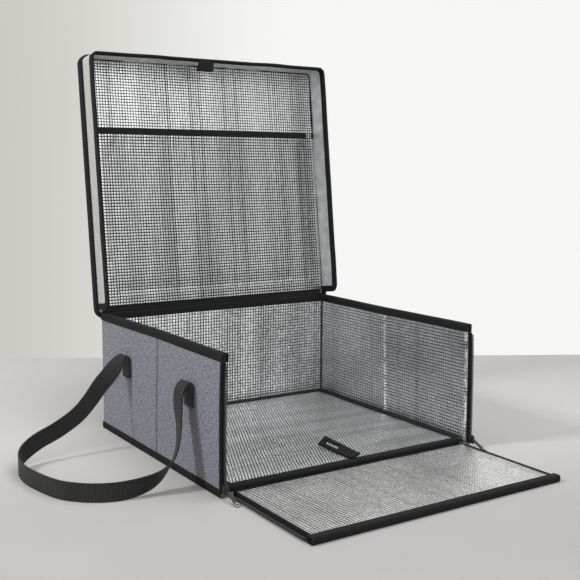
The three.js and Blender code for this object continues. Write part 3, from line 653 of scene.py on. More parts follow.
def enter_mesh(piece):
    choose(piece)
    bpy.ops.object.mode_set(mode="EDIT")
    bpy.ops.mesh.select_all(action="SELECT")


def leave_mesh():
    bpy.ops.object.mode_set(mode="OBJECT")


def apply_modifiers(piece):
    choose(piece)
    for modifier in list(piece.modifiers):
        bpy.ops.object.modifier_apply(modifier=modifier.name)


def repeat(piece, count, pitch):
    array = piece.modifiers.new("repeat", "ARRAY")
    array.count = count
    array.use_relative_offset = False
    array.use_constant_offset = True
    array.constant_offset_displace = (pitch, 0, 0)
    apply_modifiers(piece)


def thicken(piece, thickness, offset=-1.0):
    modifier = piece.modifiers.new("thickness", "SOLIDIFY")
    modifier.thickness = thickness
    modifier.offset = offset
    apply_modifiers(piece)


def smooth(piece, degrees=SOFT_ANGLE):
    choose(piece)
    bpy.ops.object.shade_smooth_by_angle(angle=math.radians(degrees))


def dress(piece, look, body=None, stands_for=()):
    """Give a piece its finish and slot, and say what it rides on and which solids it stands for."""
    piece.data.materials.clear()
    piece.data.materials.append(look)
    if body:
        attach(piece, body)
    if stands_for:
        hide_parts(*stands_for)
    return piece


def sew(piece, thickness, look, body, stands_for=(), offset=-1.0, angle=SOFT_ANGLE, matrix=None):
    """Thicken a piece, turn it where a matrix is given, smooth it and dress it."""
    thicken(piece, thickness, offset)
    if matrix:
        turn(piece, matrix)
    smooth(piece, angle)
    return dress(piece, look, body, stands_for)


def ripples(a, b, seed):
    """A smooth wave between -1 and 1 that is the same on every run."""
    return noise.noise(Vector((a, b, seed)))


print("sewing helpers ready")

# %% [markdown]
# The side walls are soft. Their tops lean in a little towards the open front, and both halves fold inward
# at the crease between their boards. One function gives that inward shift at any place on a wall, and
# everything that is sewn to the wall uses it, so cloth, lining, binding and zip stay together.

# %% How the side walls hang
WALL_LEAN = 3.0 * MM
WALL_FOLD = 4.0 * MM


def inward(y, z):
    forward = min(max((back_out - y) / (back_out - wall_front), 0.0), 1.1)
    high = max(z, 0.0) / wall_top
    reach = (wall_front if y < crease_y else back_out) - crease_y
    folded = max(0.0, 1 - abs((y - crease_y) / reach))
    return WALL_LEAN * forward ** 1.5 * high ** 3.5 + WALL_FOLD * folded ** 2 * high


def near(value, middle, width):
    """A soft bump that is 1 at the middle and fades over the width."""
    return math.exp(-((value - middle) / width) ** 2)


print("lean at the front top", round(inward(wall_front, wall_top) / MM, 1), "mm")

# %% [markdown]
# The outer cloth of a side wall is one panel with a shallow groove along the crease. The grid runs along
# the wall one way on the left and the other way on the right, so that both panels face outward.

# %% Side wall cloth
SIDES = (("left", -1), ("right", 1))
CLOTH_THICK = 1.2 * MM
PUCKER = 0.3 * MM
PUCKER_CAP = 0.1 * MM
GROOVE = 2.0 * MM
GROOVE_WIDE = 2.4 * MM
wall_long = wall_rear - wall_front
wall_tall = ply_top - ply_foot
wall_y = (wall_rear + wall_front) / 2
wall_z = (ply_top + ply_foot) / 2


def cloth_out(y, z, seed):
    pucker = PUCKER * ripples(26 * y, 34 * z, seed)
    return side_out - inward(y, z) - GROOVE * near(y, crease_y, GROOVE_WIDE) + min(pucker, PUCKER_CAP)


for side, hand in SIDES:
    piece = flat_cut(f"{side}_wall_cloth", wall_long, wall_tall, 110, 40)

    def on_wall(u, v):
        y = wall_y + hand * u
        z = wall_z + v
        return Vector((hand * cloth_out(y, z, hand), y, z))

    place(piece, on_wall)
    sew(piece, CLOTH_THICK, crease_shaded_heather, "box",
        (f"{side}_cloth", f"{side}_front_board", f"{side}_rear_board"))
    print(piece.name, len(piece.data.polygons), "faces")

# %% [markdown]
# The back wall's cloth spans both corners. The bottom cloth turns up at its front edge, and that narrow
# grey lip shows between the base board and the flap's piping.

# %% Back cloth and bottom cloth
LIP_TALL = 5.0 * MM
piece = flat_cut("back_wall_cloth", 2 * side_out, wall_tall, 80, 36)
place(piece, lambda u, v: Vector((-u, back_out - 0.25 * MM * (1 + ripples(24 * u, 30 * v, 5)), wall_z + v)))
sew(piece, CLOTH_THICK, heather, "box", ("back_cloth", "back_board"))

bottom_low, bottom_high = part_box("bottom_cloth")
bottom_long = bottom_high.y - bottom_low.y + LIP_TALL
piece = flat_cut("bottom_wall_cloth", 2 * side_out, bottom_long, 40, 60)


def on_bottom(u, v):
    behind = v + bottom_long / 2 - LIP_TALL
    y = bottom_low.y + max(behind, 0.0)
    return Vector((u, y, CLOTH_THICK + max(-behind, 0.0)))


place(piece, on_bottom)
sew(piece, CLOTH_THICK, heather, "box", ("bottom_cloth",))
print("back and bottom cloth made")

# %% [markdown]
# The foil linings are foam-backed, so they swell a little between their seams and are never quite flat. A
# slow ripple bends each panel by about a millimetre, which is enough to make the film's reflections
# wander. The side linings also have a sharp ridge where the boards fold, and roll outward into the seam
# at their front edge.

# %% Wall and bottom linings
LINING_THICK = 3.0 * MM
LINING_WAVE = 1.0 * MM
RIDGE = 2.2 * MM
RIDGE_WIDE = 2.4 * MM
RIDGE_STOP = ply_top - 12 * MM
EDGE_ROLL = 2.6 * MM
EDGE_ROLL_WIDE = 9.0 * MM


def lining_wave(a, b, seed):
    """How far a lining stands proud of its solid: always a little behind it or just on it."""
    slow = ripples(13 * a, 9 * b, seed)
    quick = 0.35 * ripples(45 * a, 40 * b, seed + 7)
    return LINING_WAVE * (slow + quick - 0.45)


for side, hand in SIDES:
    piece = flat_cut(f"{side}_wall_lining", wall_long, wall_tall, 120, 56)

    def inside_wall(u, v):
        y = wall_y - hand * u
        z = wall_z + v
        rolled = EDGE_ROLL * max(0.0, 1 - (y - wall_front) / EDGE_ROLL_WIDE) ** 2
        ending = min(max((RIDGE_STOP - z) / EDGE_ROLL_WIDE, 0.0), 1.0)
        bent = RIDGE * near(y, crease_y, RIDGE_WIDE) * ending
        proud = lining_wave(y, z, 3 + hand) + bent - rolled
        return Vector((hand * (side_in - inward(y, z) - proud), y, z))

    place(piece, inside_wall)
    sew(piece, LINING_THICK, side_foil, "box", (f"{side}_lining",))

back_wide = 2 * side_in + 2 * LINING_THICK
piece = flat_cut("back_wall_lining", back_wide, wall_tall, 110, 56)
place(piece, lambda u, v: Vector((u, back_in - lining_wave(1.6 * u, 0.4 * v, 11), wall_z + v)))
sew(piece, LINING_THICK, wall_foil, "box", ("back_lining",))

floor_low, floor_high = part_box("bottom_lining")
floor_size = (floor_high.x - floor_low.x, floor_high.y - floor_low.y)
floor_middle = (floor_high.y + floor_low.y) / 2
piece = flat_cut("bottom_wall_lining", *floor_size, 60, 60)


def on_floor(u, v):
    return Vector((u, floor_middle + v, floor_high.z - 0.2 * MM * abs(ripples(20 * u, 20 * v, 2))))


place(piece, on_floor)
sew(piece, floor_high.z - floor_low.z, base_foil, "box", ("bottom_lining",))
print("linings made")

# %% [markdown]
# At the two rear corners the linings are sewn together, and the seam shows as a thin dark line. A slim
# cylinder of thread colour stands in each corner for it, bent a little as the seam is.

# %% Corner seams
SEAM_RADIUS = 1.1 * MM
SEAM_PROUD = 0.4 * MM
SEAM_BEND = 0.5 * MM
for side, hand in SIDES:
    deselect()
    bpy.ops.mesh.primitive_cylinder_add(vertices=10, radius=SEAM_RADIUS, depth=1, location=(0, 0, 0.5))
    seam = bpy.context.object
    seam.name = f"{side}_corner_seam"
    bpy.ops.object.transform_apply(location=True, rotation=False, scale=False)
    enter_mesh(seam)
    bpy.ops.mesh.subdivide(number_cuts=24)
    leave_mesh()
    for vertex in seam.data.vertices:
        z = ply_foot + vertex.co.z * (ply_top - ply_foot)
        bend = SEAM_BEND * ripples(28 * z, hand, 97)
        corner = Vector((hand * (side_in - SEAM_PROUD) + bend, back_in - SEAM_PROUD + bend, z))
        vertex.co = Vector((vertex.co.x, vertex.co.y, 0)) + corner
    smooth(seam, 60)
    dress(seam, thread, "box")
    print(seam.name, len(seam.data.polygons), "faces")

# %% [markdown]
# Bindings, straps, tapes and piping are all a profile carried along a route. A long grid is the start
# again: its columns take the profile and its rows take the stations of the route. A station is a point
# with the two directions that the profile is drawn in. Texture coordinates follow the lengths along both,
# so the ribs stay the same size round a corner.

# %% Strip helpers


def lengths(points):
    total = [0.0]
    for first, second in zip(points, points[1:]):
        total.append(total[-1] + (second - first).length)
    return total


def strip(name, profile, stations, matrix=None):
    columns = len(profile) - 1
    rows = len(stations) - 1
    piece = flat_cut(name, columns, rows, columns, rows)
    grid = [(round(v.co.x + columns / 2), round(v.co.y + rows / 2)) for v in piece.data.vertices]
    profile_at = lengths([Vector((u, v)) for u, v in profile])
    route_at = lengths([station[0] for station in stations])
    for vertex, (i, j) in zip(piece.data.vertices, grid):
        point, first, second = stations[j]
        u, v = profile[i]
        vertex.co = point + first * u + second * v
    chart = piece.data.uv_layers.active.data
    for loop in piece.data.loops:
        i, j = grid[loop.vertex_index]
        chart[loop.index].uv = (profile_at[i], route_at[j])
    if matrix:
        piece.data.transform(matrix)
    piece.data.update()
    return piece


def close_tube(piece):
    """Weld the seam of a round strip, fill its open ends and turn its faces outward."""
    enter_mesh(piece)
    bpy.ops.mesh.remove_doubles(threshold=WELD)
    bpy.ops.mesh.fill_holes(sides=64)
    bpy.ops.mesh.normals_make_consistent(inside=False)
    leave_mesh()


def folded_profile(inner, outer, leg, droop=0.0):
    """A tape folded over an edge, from the end of its inner leg to the end of its outer leg."""
    thick = outer - inner
    soft = 0.3 * thick
    middle = (inner + outer) / 2
    rounded = [(outer - 0.06 * thick, 0.09 * thick), (outer, soft)]
    half_fold = rounded + [(outer, 0.45 * leg), (outer - droop, leg)]
    mirror = [(inner + outer - u, v) for u, v in reversed(half_fold)]
    top = [(inner + 0.24 * thick, 0.01 * thick), (middle, 0.0), (outer - 0.24 * thick, 0.01 * thick)]
    return mirror + top + half_fold


def between(start, end, count):
    return [start + (end - start) * k / count for k in range(count + 1)]


print("strip helpers ready")

# %% [markdown]
# One long tape binds the tops of the three walls. It is drawn as one strip from the right front corner
# round the back to the left front corner. At each back corner a single slanted station makes the mitre.
# Its front ends stand out a little past the wall, where the tape is cut.

# %% Top binding
BINDING_THICK = 1.0 * MM
INNER_PROUD = 1.0 * MM
TOP_SAG = 0.5 * MM
top_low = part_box("left_top_binding")[0]
binding_leg = wall_top - top_low.z
wall_thick = side_out - side_in


def wall_route(z, front, steps=44):
    """Stations round the three walls at one height: a point on the outer cloth and the way out."""
    route = []
    for y in between(front, back_out - 2 * wall_thick, steps):
        route.append((Vector((side_out - inward(y, z), y, z)), RIGHT))
    route.append((Vector((side_out, back_out, z)), Vector((1, 1, 0))))
    for x in between(side_out - 2 * wall_thick, 2 * wall_thick - side_out, steps):
        route.append((Vector((x, back_out, z)), BACK))
    right = route[:steps + 2]
    left = [(Vector((-point.x, point.y, z)), Vector((-out.x, out.y, 0))) for point, out in right]
    return route + left[::-1]


stations = []
for point, out in wall_route(wall_top, top_low.y):
    sag = TOP_SAG * ripples(9 * point.x, 9 * point.y, 21)
    stations.append((point + UP * (sag - TOP_SAG), out, -UP))
profile = folded_profile(-wall_thick - INNER_PROUD, binding_out, binding_leg, 0.3 * MM)
piece = strip("wall_top_binding", profile, stations)
sew(piece, BINDING_THICK, binding_tape, "box",
    ("left_top_binding", "back_top_binding", "right_top_binding"), angle=FOLD_ANGLE)
print(piece.name, len(stations), "stations")

# %% [markdown]
# A flatter tape covers the seam round the foot of the walls. It only lies against the cloth, so its
# profile is a shallow strip that turns under at the table.

# %% Foot binding
FOOT_THICK = 0.6 * MM
foot_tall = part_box("left_foot_binding")[1].z
foot_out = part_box("right_foot_binding")[1].x - side_out
profile = [
    (0.15 * MM, foot_tall),
    (0.7 * foot_out, foot_tall - 0.1 * MM),
    (foot_out, foot_tall - 1.2 * MM),
    (foot_out, foot_tall / 2),
    (foot_out, 1.5 * MM),
    (0.75 * foot_out, 0.3 * MM),
    (0.0, 0.1 * MM),
]
stations = [(point, out, UP) for point, out in wall_route(0.0, wall_front)]
piece = strip("wall_foot_binding", profile, stations)
sew(piece, FOOT_THICK, binding_tape, "box",
    ("left_foot_binding", "back_foot_binding", "right_foot_binding"), angle=FOLD_ANGLE)
print(piece.name, len(stations), "stations")

# %% [markdown]
# Each zip half is a woven tape whose outer edge carries nylon teeth, and whose sewn edge is covered by a
# narrow folded tape. A tooth is modelled once: a cube with bevelled edges. An Array modifier repeats it
# along the tape, and a formula then bends the row to the wall.

# %% Zip helpers
TOOTH_PITCH = 2.0 * MM
TEETH_WIDE = 2.3 * MM
TEETH_THICK = 3.0 * MM
TAPE_THICK = 0.9 * MM
COVER_LEG = 4.5 * MM
COVER_INSIDE = 1.2 * MM
COVER_THICK = 0.6 * MM
COVER_PROUD = 0.9 * MM


def tooth_row(name, length, where):
    """Teeth along a straight row, moved to their places by a formula of along, across and thickness."""
    deselect()
    bpy.ops.mesh.primitive_cube_add(size=1)
    row = bpy.context.object
    row.name = name
    row.scale = (0.62 * TOOTH_PITCH, TEETH_WIDE, TEETH_THICK)
    bpy.ops.object.transform_apply(location=False, rotation=False, scale=True)
    enter_mesh(row)
    bpy.ops.mesh.bevel(offset=0.3 * MM, segments=1, affect="EDGES")
    leave_mesh()
    repeat(row, int(length / TOOTH_PITCH), TOOTH_PITCH)
    for vertex in row.data.vertices:
        vertex.co = where(vertex.co.x + TOOTH_PITCH / 2, vertex.co.y, vertex.co.z)
    enter_mesh(row)
    bpy.ops.mesh.normals_make_consistent(inside=False)
    leave_mesh()
    return row


def join(pieces):
    """Join pieces into the first of them."""
    choose(pieces[0])
    for piece in pieces[1:]:
        piece.select_set(True)
    bpy.ops.object.join()
    return pieces[0]


def zip_half(solid, body, tape_shape, cover_shape, teeth_long, tooth_place):
    """A tape and its cover, which stand for the zip's solid, and the teeth along the tape."""
    tape = strip(f"{solid}_tape", *tape_shape)
    thicken(tape, TAPE_THICK, 0.0)
    cover = strip(f"{solid}_cover", *cover_shape)
    thicken(cover, COVER_THICK, 0.0)
    join([tape, cover])
    smooth(tape)
    dress(tape, zip_tape, body, (solid,))
    teeth = tooth_row(f"{solid}_teeth", teeth_long, tooth_place)
    dress(teeth, nylon, body)
    print(tape.name, len(teeth.data.polygons), "tooth faces")


print("zip helpers ready")

# %% [markdown]
# The wall zips run up the front edges, a little wavy as in the photograph. The row of teeth, the tape and
# the cover all use the same shift, so they stay in line.

# %% Wall zips
ZIP_WOBBLE = 0.5 * MM
for side, hand in SIDES:
    low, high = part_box(f"{side}_wall_zip")
    zip_x = abs(low.x + high.x) / 2
    tape_front = low.y + TEETH_WIDE
    tape_rear = wall_front + COVER_LEG

    def zip_place(y, z, out):
        wobble = ZIP_WOBBLE * ripples(30 * z, 4 * y, 31 + hand)
        return Vector((hand * (zip_x + out - inward(y, z) + wobble), y, z))

    heights = between(low.z, high.z, 60)
    across = Vector((hand, 0, 0))
    tape_stations = [(zip_place(wall_front, z, 0), BACK, across) for z in heights]
    tape_profile = [(y - wall_front, 0.0) for y in between(tape_front, tape_rear, 5)]
    cover_heights = between(ply_foot, wall_top - 1.2 * MM, 64)
    cover_profile = folded_profile(-0.7 * MM, wall_thick - 1.5 * MM, COVER_LEG)
    cover_profile = [(u, min(v, COVER_INSIDE) if u > wall_thick / 2 else v) for u, v in cover_profile]
    cover_stations = []
    for z in cover_heights:
        start = Vector((hand * (side_out - inward(wall_front, z)), wall_front - COVER_PROUD, z))
        cover_stations.append((start, -across, BACK))

    def tooth_place(along, cross, thick):
        return zip_place(low.y + TEETH_WIDE / 2 + cross, low.z + along, thick)

    tape_shape = (tape_profile, tape_stations)
    cover_shape = (cover_profile, cover_stations)
    zip_half(f"{side}_wall_zip", "box", tape_shape, cover_shape, high.z - low.z, tooth_place)

# %% [markdown]
# Sliders and pulls are castings whose solids already have the right shape, so a copy of the solid is
# welded, its edges are rounded with a Bevel modifier, and it takes the solid's place. A steel eyelet
# closes the round end of each pull.

# %% Sliders and pulls
EYELET_PLACE = 27 * MM
EYELET_RADIUS = 2.8 * MM
EYELET_WIRE = 1.0 * MM


def rounded_copy(node_name, name, width):
    choose(frame["nodes"][node_name])
    bpy.ops.object.duplicate()
    piece = bpy.context.object
    piece.name = name
    piece.parent = None
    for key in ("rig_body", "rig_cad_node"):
        del piece[key]
    enter_mesh(piece)
    bpy.ops.mesh.remove_doubles(threshold=WELD)
    bpy.ops.mesh.dissolve_limited(angle_limit=math.radians(2))
    leave_mesh()
    bevel = piece.modifiers.new("round", "BEVEL")
    bevel.width = width
    bevel.segments = 2
    bevel.limit_method = "ANGLE"
    apply_modifiers(piece)
    smooth(piece, 35)
    return piece


for side, hand in SIDES:
    piece = rounded_copy(f"{side}_slider", f"{side}_zip_slider", 0.35 * MM)
    dress(piece, enamel, f"{side}_slider_body", (f"{side}_slider",))
    piece = rounded_copy(f"{side}_pull", f"{side}_zip_pull", 0.3 * MM)
    dress(piece, enamel, f"{side}_pull_body", (f"{side}_pull",))
    pull_points = [vertex.co for vertex in frame["nodes"][f"{side}_pull"].data.vertices]
    pivot = Vector(joints[f"{side}_pull_swing"]["pos_m"])
    far = max(pull_points, key=lambda point: (point - pivot).length)
    lengthwise = Vector((0, far.y - pivot.y, far.z - pivot.z)).normalized()
    face = RIGHT.cross(lengthwise)
    eye = pivot + lengthwise * EYELET_PLACE
    deselect()
    bpy.ops.mesh.primitive_torus_add(
        major_segments=24, minor_segments=8, major_radius=EYELET_RADIUS, minor_radius=EYELET_WIRE)
    eyelet = bpy.context.object
    eyelet.name = f"{side}_pull_eyelet"
    settle = Matrix.Translation(eye) @ UP.rotation_difference(face).to_matrix().to_4x4()
    eyelet.matrix_world = settle
    bpy.ops.object.transform_apply()
    smooth(eyelet)
    dress(eyelet, steel, f"{side}_pull_body")
    print(piece.name, "eyelet at", [round(value / MM) for value in eye])

# %% [markdown]
# The flap is the front wall laid on the table: cloth below, foil above, a folded tape over its free edge,
# a zip along each side and a round piping at its hinge. Its foil is a little loose, as the flap is bent
# every time it is opened.

# %% Flap panels and edge
FLAP_SLACK = 0.7
flap_low, flap_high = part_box("flap_lining")
flap_size = (flap_high.x - flap_low.x, flap_high.y - flap_low.y)
flap_y = (flap_high.y + flap_low.y) / 2
piece = flat_cut("flap_panel_lining", *flap_size, 120, 60)
place(piece, lambda u, v: Vector((u, flap_y + v, flap_high.z + lining_wave(u, 1.4 * v, 17) * FLAP_SLACK)))
sew(piece, LINING_THICK, flap_foil, "front_flap", ("flap_lining",))

cloth_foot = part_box("flap_cloth")[0].z
piece = flat_cut("flap_panel_cloth", *flap_size, 60, 30)
place(piece, lambda u, v: Vector((-u, flap_y + v, cloth_foot + 0.2 * MM * abs(ripples(20 * u, 20 * v, 4)))))
sew(piece, CLOTH_THICK, heather, "front_flap", ("flap_cloth", "flap_board"))

edge_low, edge_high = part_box("flap_edge_binding")
edge_leg = edge_high.y - edge_low.y
EDGE_SHORT = 3.0 * MM
EDGE_DRIFT = 0.5 * MM
stations = []
for x in between(edge_low.x + EDGE_SHORT, edge_high.x - EDGE_SHORT, 60):
    drift = EDGE_DRIFT * ripples(14 * x, 0, 41)
    stations.append((Vector((x, edge_low.y + abs(drift), 0)), UP, BACK))
profile = folded_profile(edge_low.z + 0.1 * MM, edge_high.z, edge_leg, 0.4 * MM)
piece = strip("flap_front_binding", profile[::-1], stations)
sew(piece, BINDING_THICK, binding_tape, "front_flap", ("flap_edge_binding",), angle=FOLD_ANGLE)
print("flap", [round(value / MM) for value in flap_size], "mm")

# %% [markdown]
# Piping is a tape sewn round a thin core. It is drawn as a round strip whose ends are filled, with a
# slight waver in its line because it was sewn by hand along a soft edge.

# %% Flap piping
PIPE_WAVER = 0.3 * MM
PIPE_SIDES = 14


def round_profile(radius, sides):
    angles = [TURN * k / sides for k in range(sides)]
    ring = [(radius * math.cos(angle), radius * math.sin(angle)) for angle in angles]
    return ring + ring[:1]


pipe_low, pipe_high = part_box("flap_hinge_piping")
pipe_middle = (pipe_low + pipe_high) / 2
pipe_radius = (pipe_high.z - pipe_low.z) / 2
stations = []
for x in between(pipe_low.x, pipe_high.x, 70):
    waver = PIPE_WAVER * ripples(20 * x, 3, 43)
    stations.append((Vector((x, pipe_middle.y + waver, pipe_middle.z + waver)), UP, -BACK))
piece = strip("flap_piping", round_profile(pipe_radius, PIPE_SIDES), stations)
close_tube(piece)
smooth(piece, FOLD_ANGLE)
dress(piece, binding_tape, "front_flap", ("flap_hinge_piping",))
print(piece.name, len(stations), "stations")

# %% [markdown]
# The flap's zips are made like those of the walls. Their covers show more on the right side than on the
# left, where the tape is turned further under.

# %% Flap zips
FLAP_WOBBLE = 0.4 * MM
FLAP_COVER = {"left": 1.4 * MM, "right": COVER_LEG}
for side, hand in SIDES:
    low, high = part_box(f"flap_{side}_zip")
    zip_z = (low.z + high.z) / 2
    tip = max(abs(low.x), abs(high.x))
    seam = flap_high.x - COVER_LEG

    def flap_zip_place(x, y, lift):
        return Vector((hand * x, y, zip_z + lift + FLAP_WOBBLE * ripples(24 * y, 2 * x, 51 + hand)))

    ys = between(low.y, high.y, 60)
    outward = Vector((hand, 0, 0))
    tape_stations = [(flap_zip_place(0, y, 0), outward, UP) for y in ys]
    tape_profile = [(x, 0.0) for x in between(seam, tip - TEETH_WIDE, 5)]
    cover_profile = folded_profile(cloth_foot - 0.3 * MM, flap_high.z + 0.6 * MM, COVER_LEG)
    cover_profile = [(u, min(v, FLAP_COVER[side]) if u > flap_high.z else v) for u, v in cover_profile]
    cover_stations = []
    for y in between(edge_high.y - 2 * MM, flap_high.y, 60):
        cover_stations.append((Vector((hand * (flap_high.x + COVER_PROUD), y, 0)), UP, -outward))

    def flap_tooth_place(along, cross, thick):
        return flap_zip_place(tip - TEETH_WIDE / 2 + cross, low.y + along, thick)

    tape_shape = (tape_profile, tape_stations)
    cover_shape = (cover_profile, cover_stations)
    zip_half(f"flap_{side}_zip", "front_flap", tape_shape, cover_shape, high.y - low.y, flap_tooth_place)

# %% [markdown]
# Two soft pieces get their shape from a cloth simulation. Some points are held, the simulation runs for a
# set number of frames, and the shape that it ends with is applied, so no simulation is left on the piece.

# %% Cloth simulation
CLOTH_QUALITY = 4


def simulate(piece, pinned, frames, gravity=1.0, **settings):
    held = piece.vertex_groups.new(name="held")
    held.add(pinned, 1.0, "REPLACE")
    cloth = piece.modifiers.new("cloth", "CLOTH")
    cloth.settings.quality = CLOTH_QUALITY
    cloth.settings.vertex_group_mass = "held"
    cloth.settings.effector_weights.gravity = gravity
    for key, value in settings.items():
        setattr(cloth.settings, key, value)
    for moment in range(1, frames + 1):
        bpy.context.scene.frame_set(moment)
    apply_modifiers(piece)
    bpy.context.scene.frame_set(1)


print("simulation helper ready")

# %% [markdown]
# The base board is a stiff core under a foam pad covered with foil. The pad is made as padded fabric is:
# a thin closed slab, pinned round its edge and along its underside, is blown up with a little pressure,
# and no point may rise by more than a set cap.

# %% Base pad
PAD_RISE = 1.6 * MM
PAD_PRESSURE = 3.0
PAD_MASS = 0.2
PAD_FRAMES = 16
PAD_CORNER = 13 * MM
PAD_SINK = 0.2 * MM
DENT = 0.3 * MM
LONG_DENT = 0.75 * MM
BINDING_EDGE = 12 * MM
pad_low, pad_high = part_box("base_board_foil")
pad_size = (pad_high.x - pad_low.x, pad_high.y - pad_low.y)
pad_middle = (pad_low + pad_high) / 2


def round_corners(u, v, half_u, half_v, radius):
    """Pull the corners of a rectangular grid in to a round outline."""
    a = (abs(u) - (half_u - radius)) / radius
    b = (abs(v) - (half_v - radius)) / radius
    if a <= 0 or b <= 0:
        return u, v
    u_new = (half_u - radius) + radius * a * math.sqrt(1 - b * b / 2)
    v_new = (half_v - radius) + radius * b * math.sqrt(1 - a * a / 2)
    return math.copysign(u_new, u), math.copysign(v_new, v)


pad = flat_cut("base_pad", *pad_size, 84, 78)


def on_pad(u, v):
    u, v = round_corners(u, v, pad_size[0] / 2, pad_size[1] / 2, PAD_CORNER)
    dent = DENT * ripples(16 * u, 22 * v, 61) + LONG_DENT * ripples(3 * u, 30 * v, 63)
    return Vector((pad_middle.x + u, pad_middle.y + v, pad_high.z - 0.5 * MM + dent))


place(pad, on_pad)
thicken(pad, pad_high.z - pad_low.z - 0.6 * MM)
pad_rest = [vertex.co.copy() for vertex in pad.data.vertices]


def is_free(point):
    inside_x = abs(point.x - pad_middle.x) < pad_size[0] / 2 - BINDING_EDGE
    inside_y = abs(point.y - pad_middle.y) < pad_size[1] / 2 - BINDING_EDGE
    return inside_x and inside_y and point.z > pad_middle.z


sewn_down = [k for k, point in enumerate(pad_rest) if not is_free(point)]
simulate(pad, sewn_down, PAD_FRAMES, gravity=0.0, mass=PAD_MASS, use_pressure=True,
         uniform_pressure_force=PAD_PRESSURE)
for vertex, rest in zip(pad.data.vertices, pad_rest):
    rise = min(max(vertex.co.z - rest.z, -PAD_SINK), PAD_RISE)
    vertex.co = Vector((rest.x, rest.y, rest.z + rise))
pad.data.update()
smooth(pad)
dress(pad, base_foil, "base_board", ("base_board_foil",))
print("pad rises", round(max(v.co.z for v in pad.data.vertices) / MM, 1), "mm")

# %% [markdown]
# The core is the same outline in board. The binding runs all round in one closed strip, with more
# stations in the corners, and its first and last stations are welded.

# %% Base core and binding
core_low, core_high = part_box("base_board_core")
core = flat_cut("base_core", *pad_size, 40, 40)


def on_core(u, v):
    u, v = round_corners(u, v, pad_size[0] / 2, pad_size[1] / 2, PAD_CORNER)
    return Vector((pad_middle.x + u, pad_middle.y + v, core_high.z))


place(core, on_core)
sew(core, core_high.z - core_low.z, grey_board, "base_board", ("base_board_core",))


RIM_CORNER = 14 * MM


def round_loop(low, high, radius, step=9 * MM, corner_steps=8):
    """Points and ways out round a rectangle with round corners, anticlockwise, the first one repeated."""
    loop = []
    corners = ((high.x, high.y, 0), (low.x, high.y, 1), (low.x, low.y, 2), (high.x, low.y, 3))
    for x, y, quarter in corners:
        inset = Vector((x - math.copysign(radius, x - (low.x + high.x) / 2),
                        y - math.copysign(radius, y - (low.y + high.y) / 2), 0))
        for k in range(corner_steps + 1):
            angle = (quarter + k / corner_steps) * TURN / 4
            out = Vector((math.cos(angle), math.sin(angle), 0))
            loop.append((inset + out * radius, out))
    filled = []
    for (point, out), (following, out_next) in zip(loop, loop[1:] + loop[:1]):
        count = max(1, int((following - point).length / step))
        filled += [(point.lerp(following, k / count), out.lerp(out_next, k / count)) for k in range(count)]
    return filled + filled[:1]


rim_low, rim_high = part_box("base_board_binding")
rim_loop = round_loop(rim_low, rim_high, RIM_CORNER)
stations = [(Vector((point.x, point.y, 0)), UP, -out) for point, out in rim_loop]
profile = folded_profile(rim_low.z, rim_high.z, BINDING_EDGE, 0.3 * MM)
piece = strip("base_edge_binding", profile[::-1], stations)
enter_mesh(piece)
bpy.ops.mesh.remove_doubles(threshold=WELD)
leave_mesh()
sew(piece, BINDING_THICK, binding_tape, "base_board", ("base_board_binding",), angle=FOLD_ANGLE)
print(piece.name, len(stations), "stations")

# %% [markdown]
# A webbing loop near the front edge lifts the board. The webbing is laid double: it runs back along the
# foil, twists, bends over at the free end and comes back on itself, and it parts near that end, where
# light shows through. A smooth curve through a few given points gives the side view.

# %% Smooth routes and the base loop


def smooth_route(points, steps):
    """A curve through every point, with the given number of steps between two points."""
    ends = [points[0] * 2 - points[1]] + points + [points[-1] * 2 - points[-2]]
    route = []
    for a, b, c, d in zip(ends, ends[1:], ends[2:], ends[3:]):
        for k in range(steps):
            t = k / steps
            route.append(0.5 * (2 * b + (c - a) * t + (2 * a - 5 * b + 4 * c - d) * t * t
                                + (3 * b - a - 3 * c + d) * t ** 3))
    return route + [points[-1]]


def flat_profile(width, columns=6):
    return [(u, 0.0) for u in between(-width / 2, width / 2, columns)]


LOOP_THICK = 1.4 * MM
LOOP_WIDE = 15.0 * MM
LOOP_SIDE = (
    (-9.0, 1.1), (0.0, 0.9), (14.0, 0.9), (30.0, 1.2), (46.0, 2.2), (58.0, 3.2), (63.5, 4.0), (65.0, 5.2),
    (63.0, 6.4), (56.0, 5.8), (46.0, 4.4), (30.0, 3.2), (14.0, 2.8), (0.0, 2.8), (-9.0, 3.0),
)
LOOP_SKEW = -0.10
LOOP_TWIST = math.radians(38)
TWIST_RUN = 30 * MM
LOOP_SLIT = (27.0 * MM, 57.0 * MM)
loop_low, loop_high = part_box("base_pull_loop")
loop_middle = (loop_low.x + loop_high.x) / 2
loop_points = []
for back, rise in LOOP_SIDE:
    skewed = loop_middle + LOOP_SKEW * back * MM
    loop_points.append(Vector((skewed, loop_low.y + back * MM, loop_low.z + rise * MM)))
route = smooth_route(loop_points, 5)
stations = []
for point in route:
    share = max(0.0, (point.y - loop_low.y) / TWIST_RUN)
    twist = LOOP_TWIST * (0.5 + 0.5 * min(share, 1.0))
    across = Vector((math.cos(twist), 0, math.sin(twist)))
    lifted = point + UP * (LOOP_WIDE / 2 * math.sin(twist))
    stations.append((lifted, across, UP))
piece = strip("base_lift_loop", flat_profile(LOOP_WIDE, 10), stations)
slit_y = [loop_low.y + back for back in LOOP_SLIT]
choose(piece)
bpy.ops.object.mode_set(mode="EDIT")
bpy.ops.mesh.select_mode(type="FACE")
bpy.ops.mesh.select_all(action="DESELECT")
bpy.ops.object.mode_set(mode="OBJECT")
for face in piece.data.polygons:
    across_places = [piece.data.uv_layers.active.data[k].uv.x for k in face.loop_indices]
    off = sum(across_places) / 4 - LOOP_WIDE / 2
    face.select = abs(off) < LOOP_WIDE / 5 and slit_y[0] < face.center.y < slit_y[1]
bpy.ops.object.mode_set(mode="EDIT")
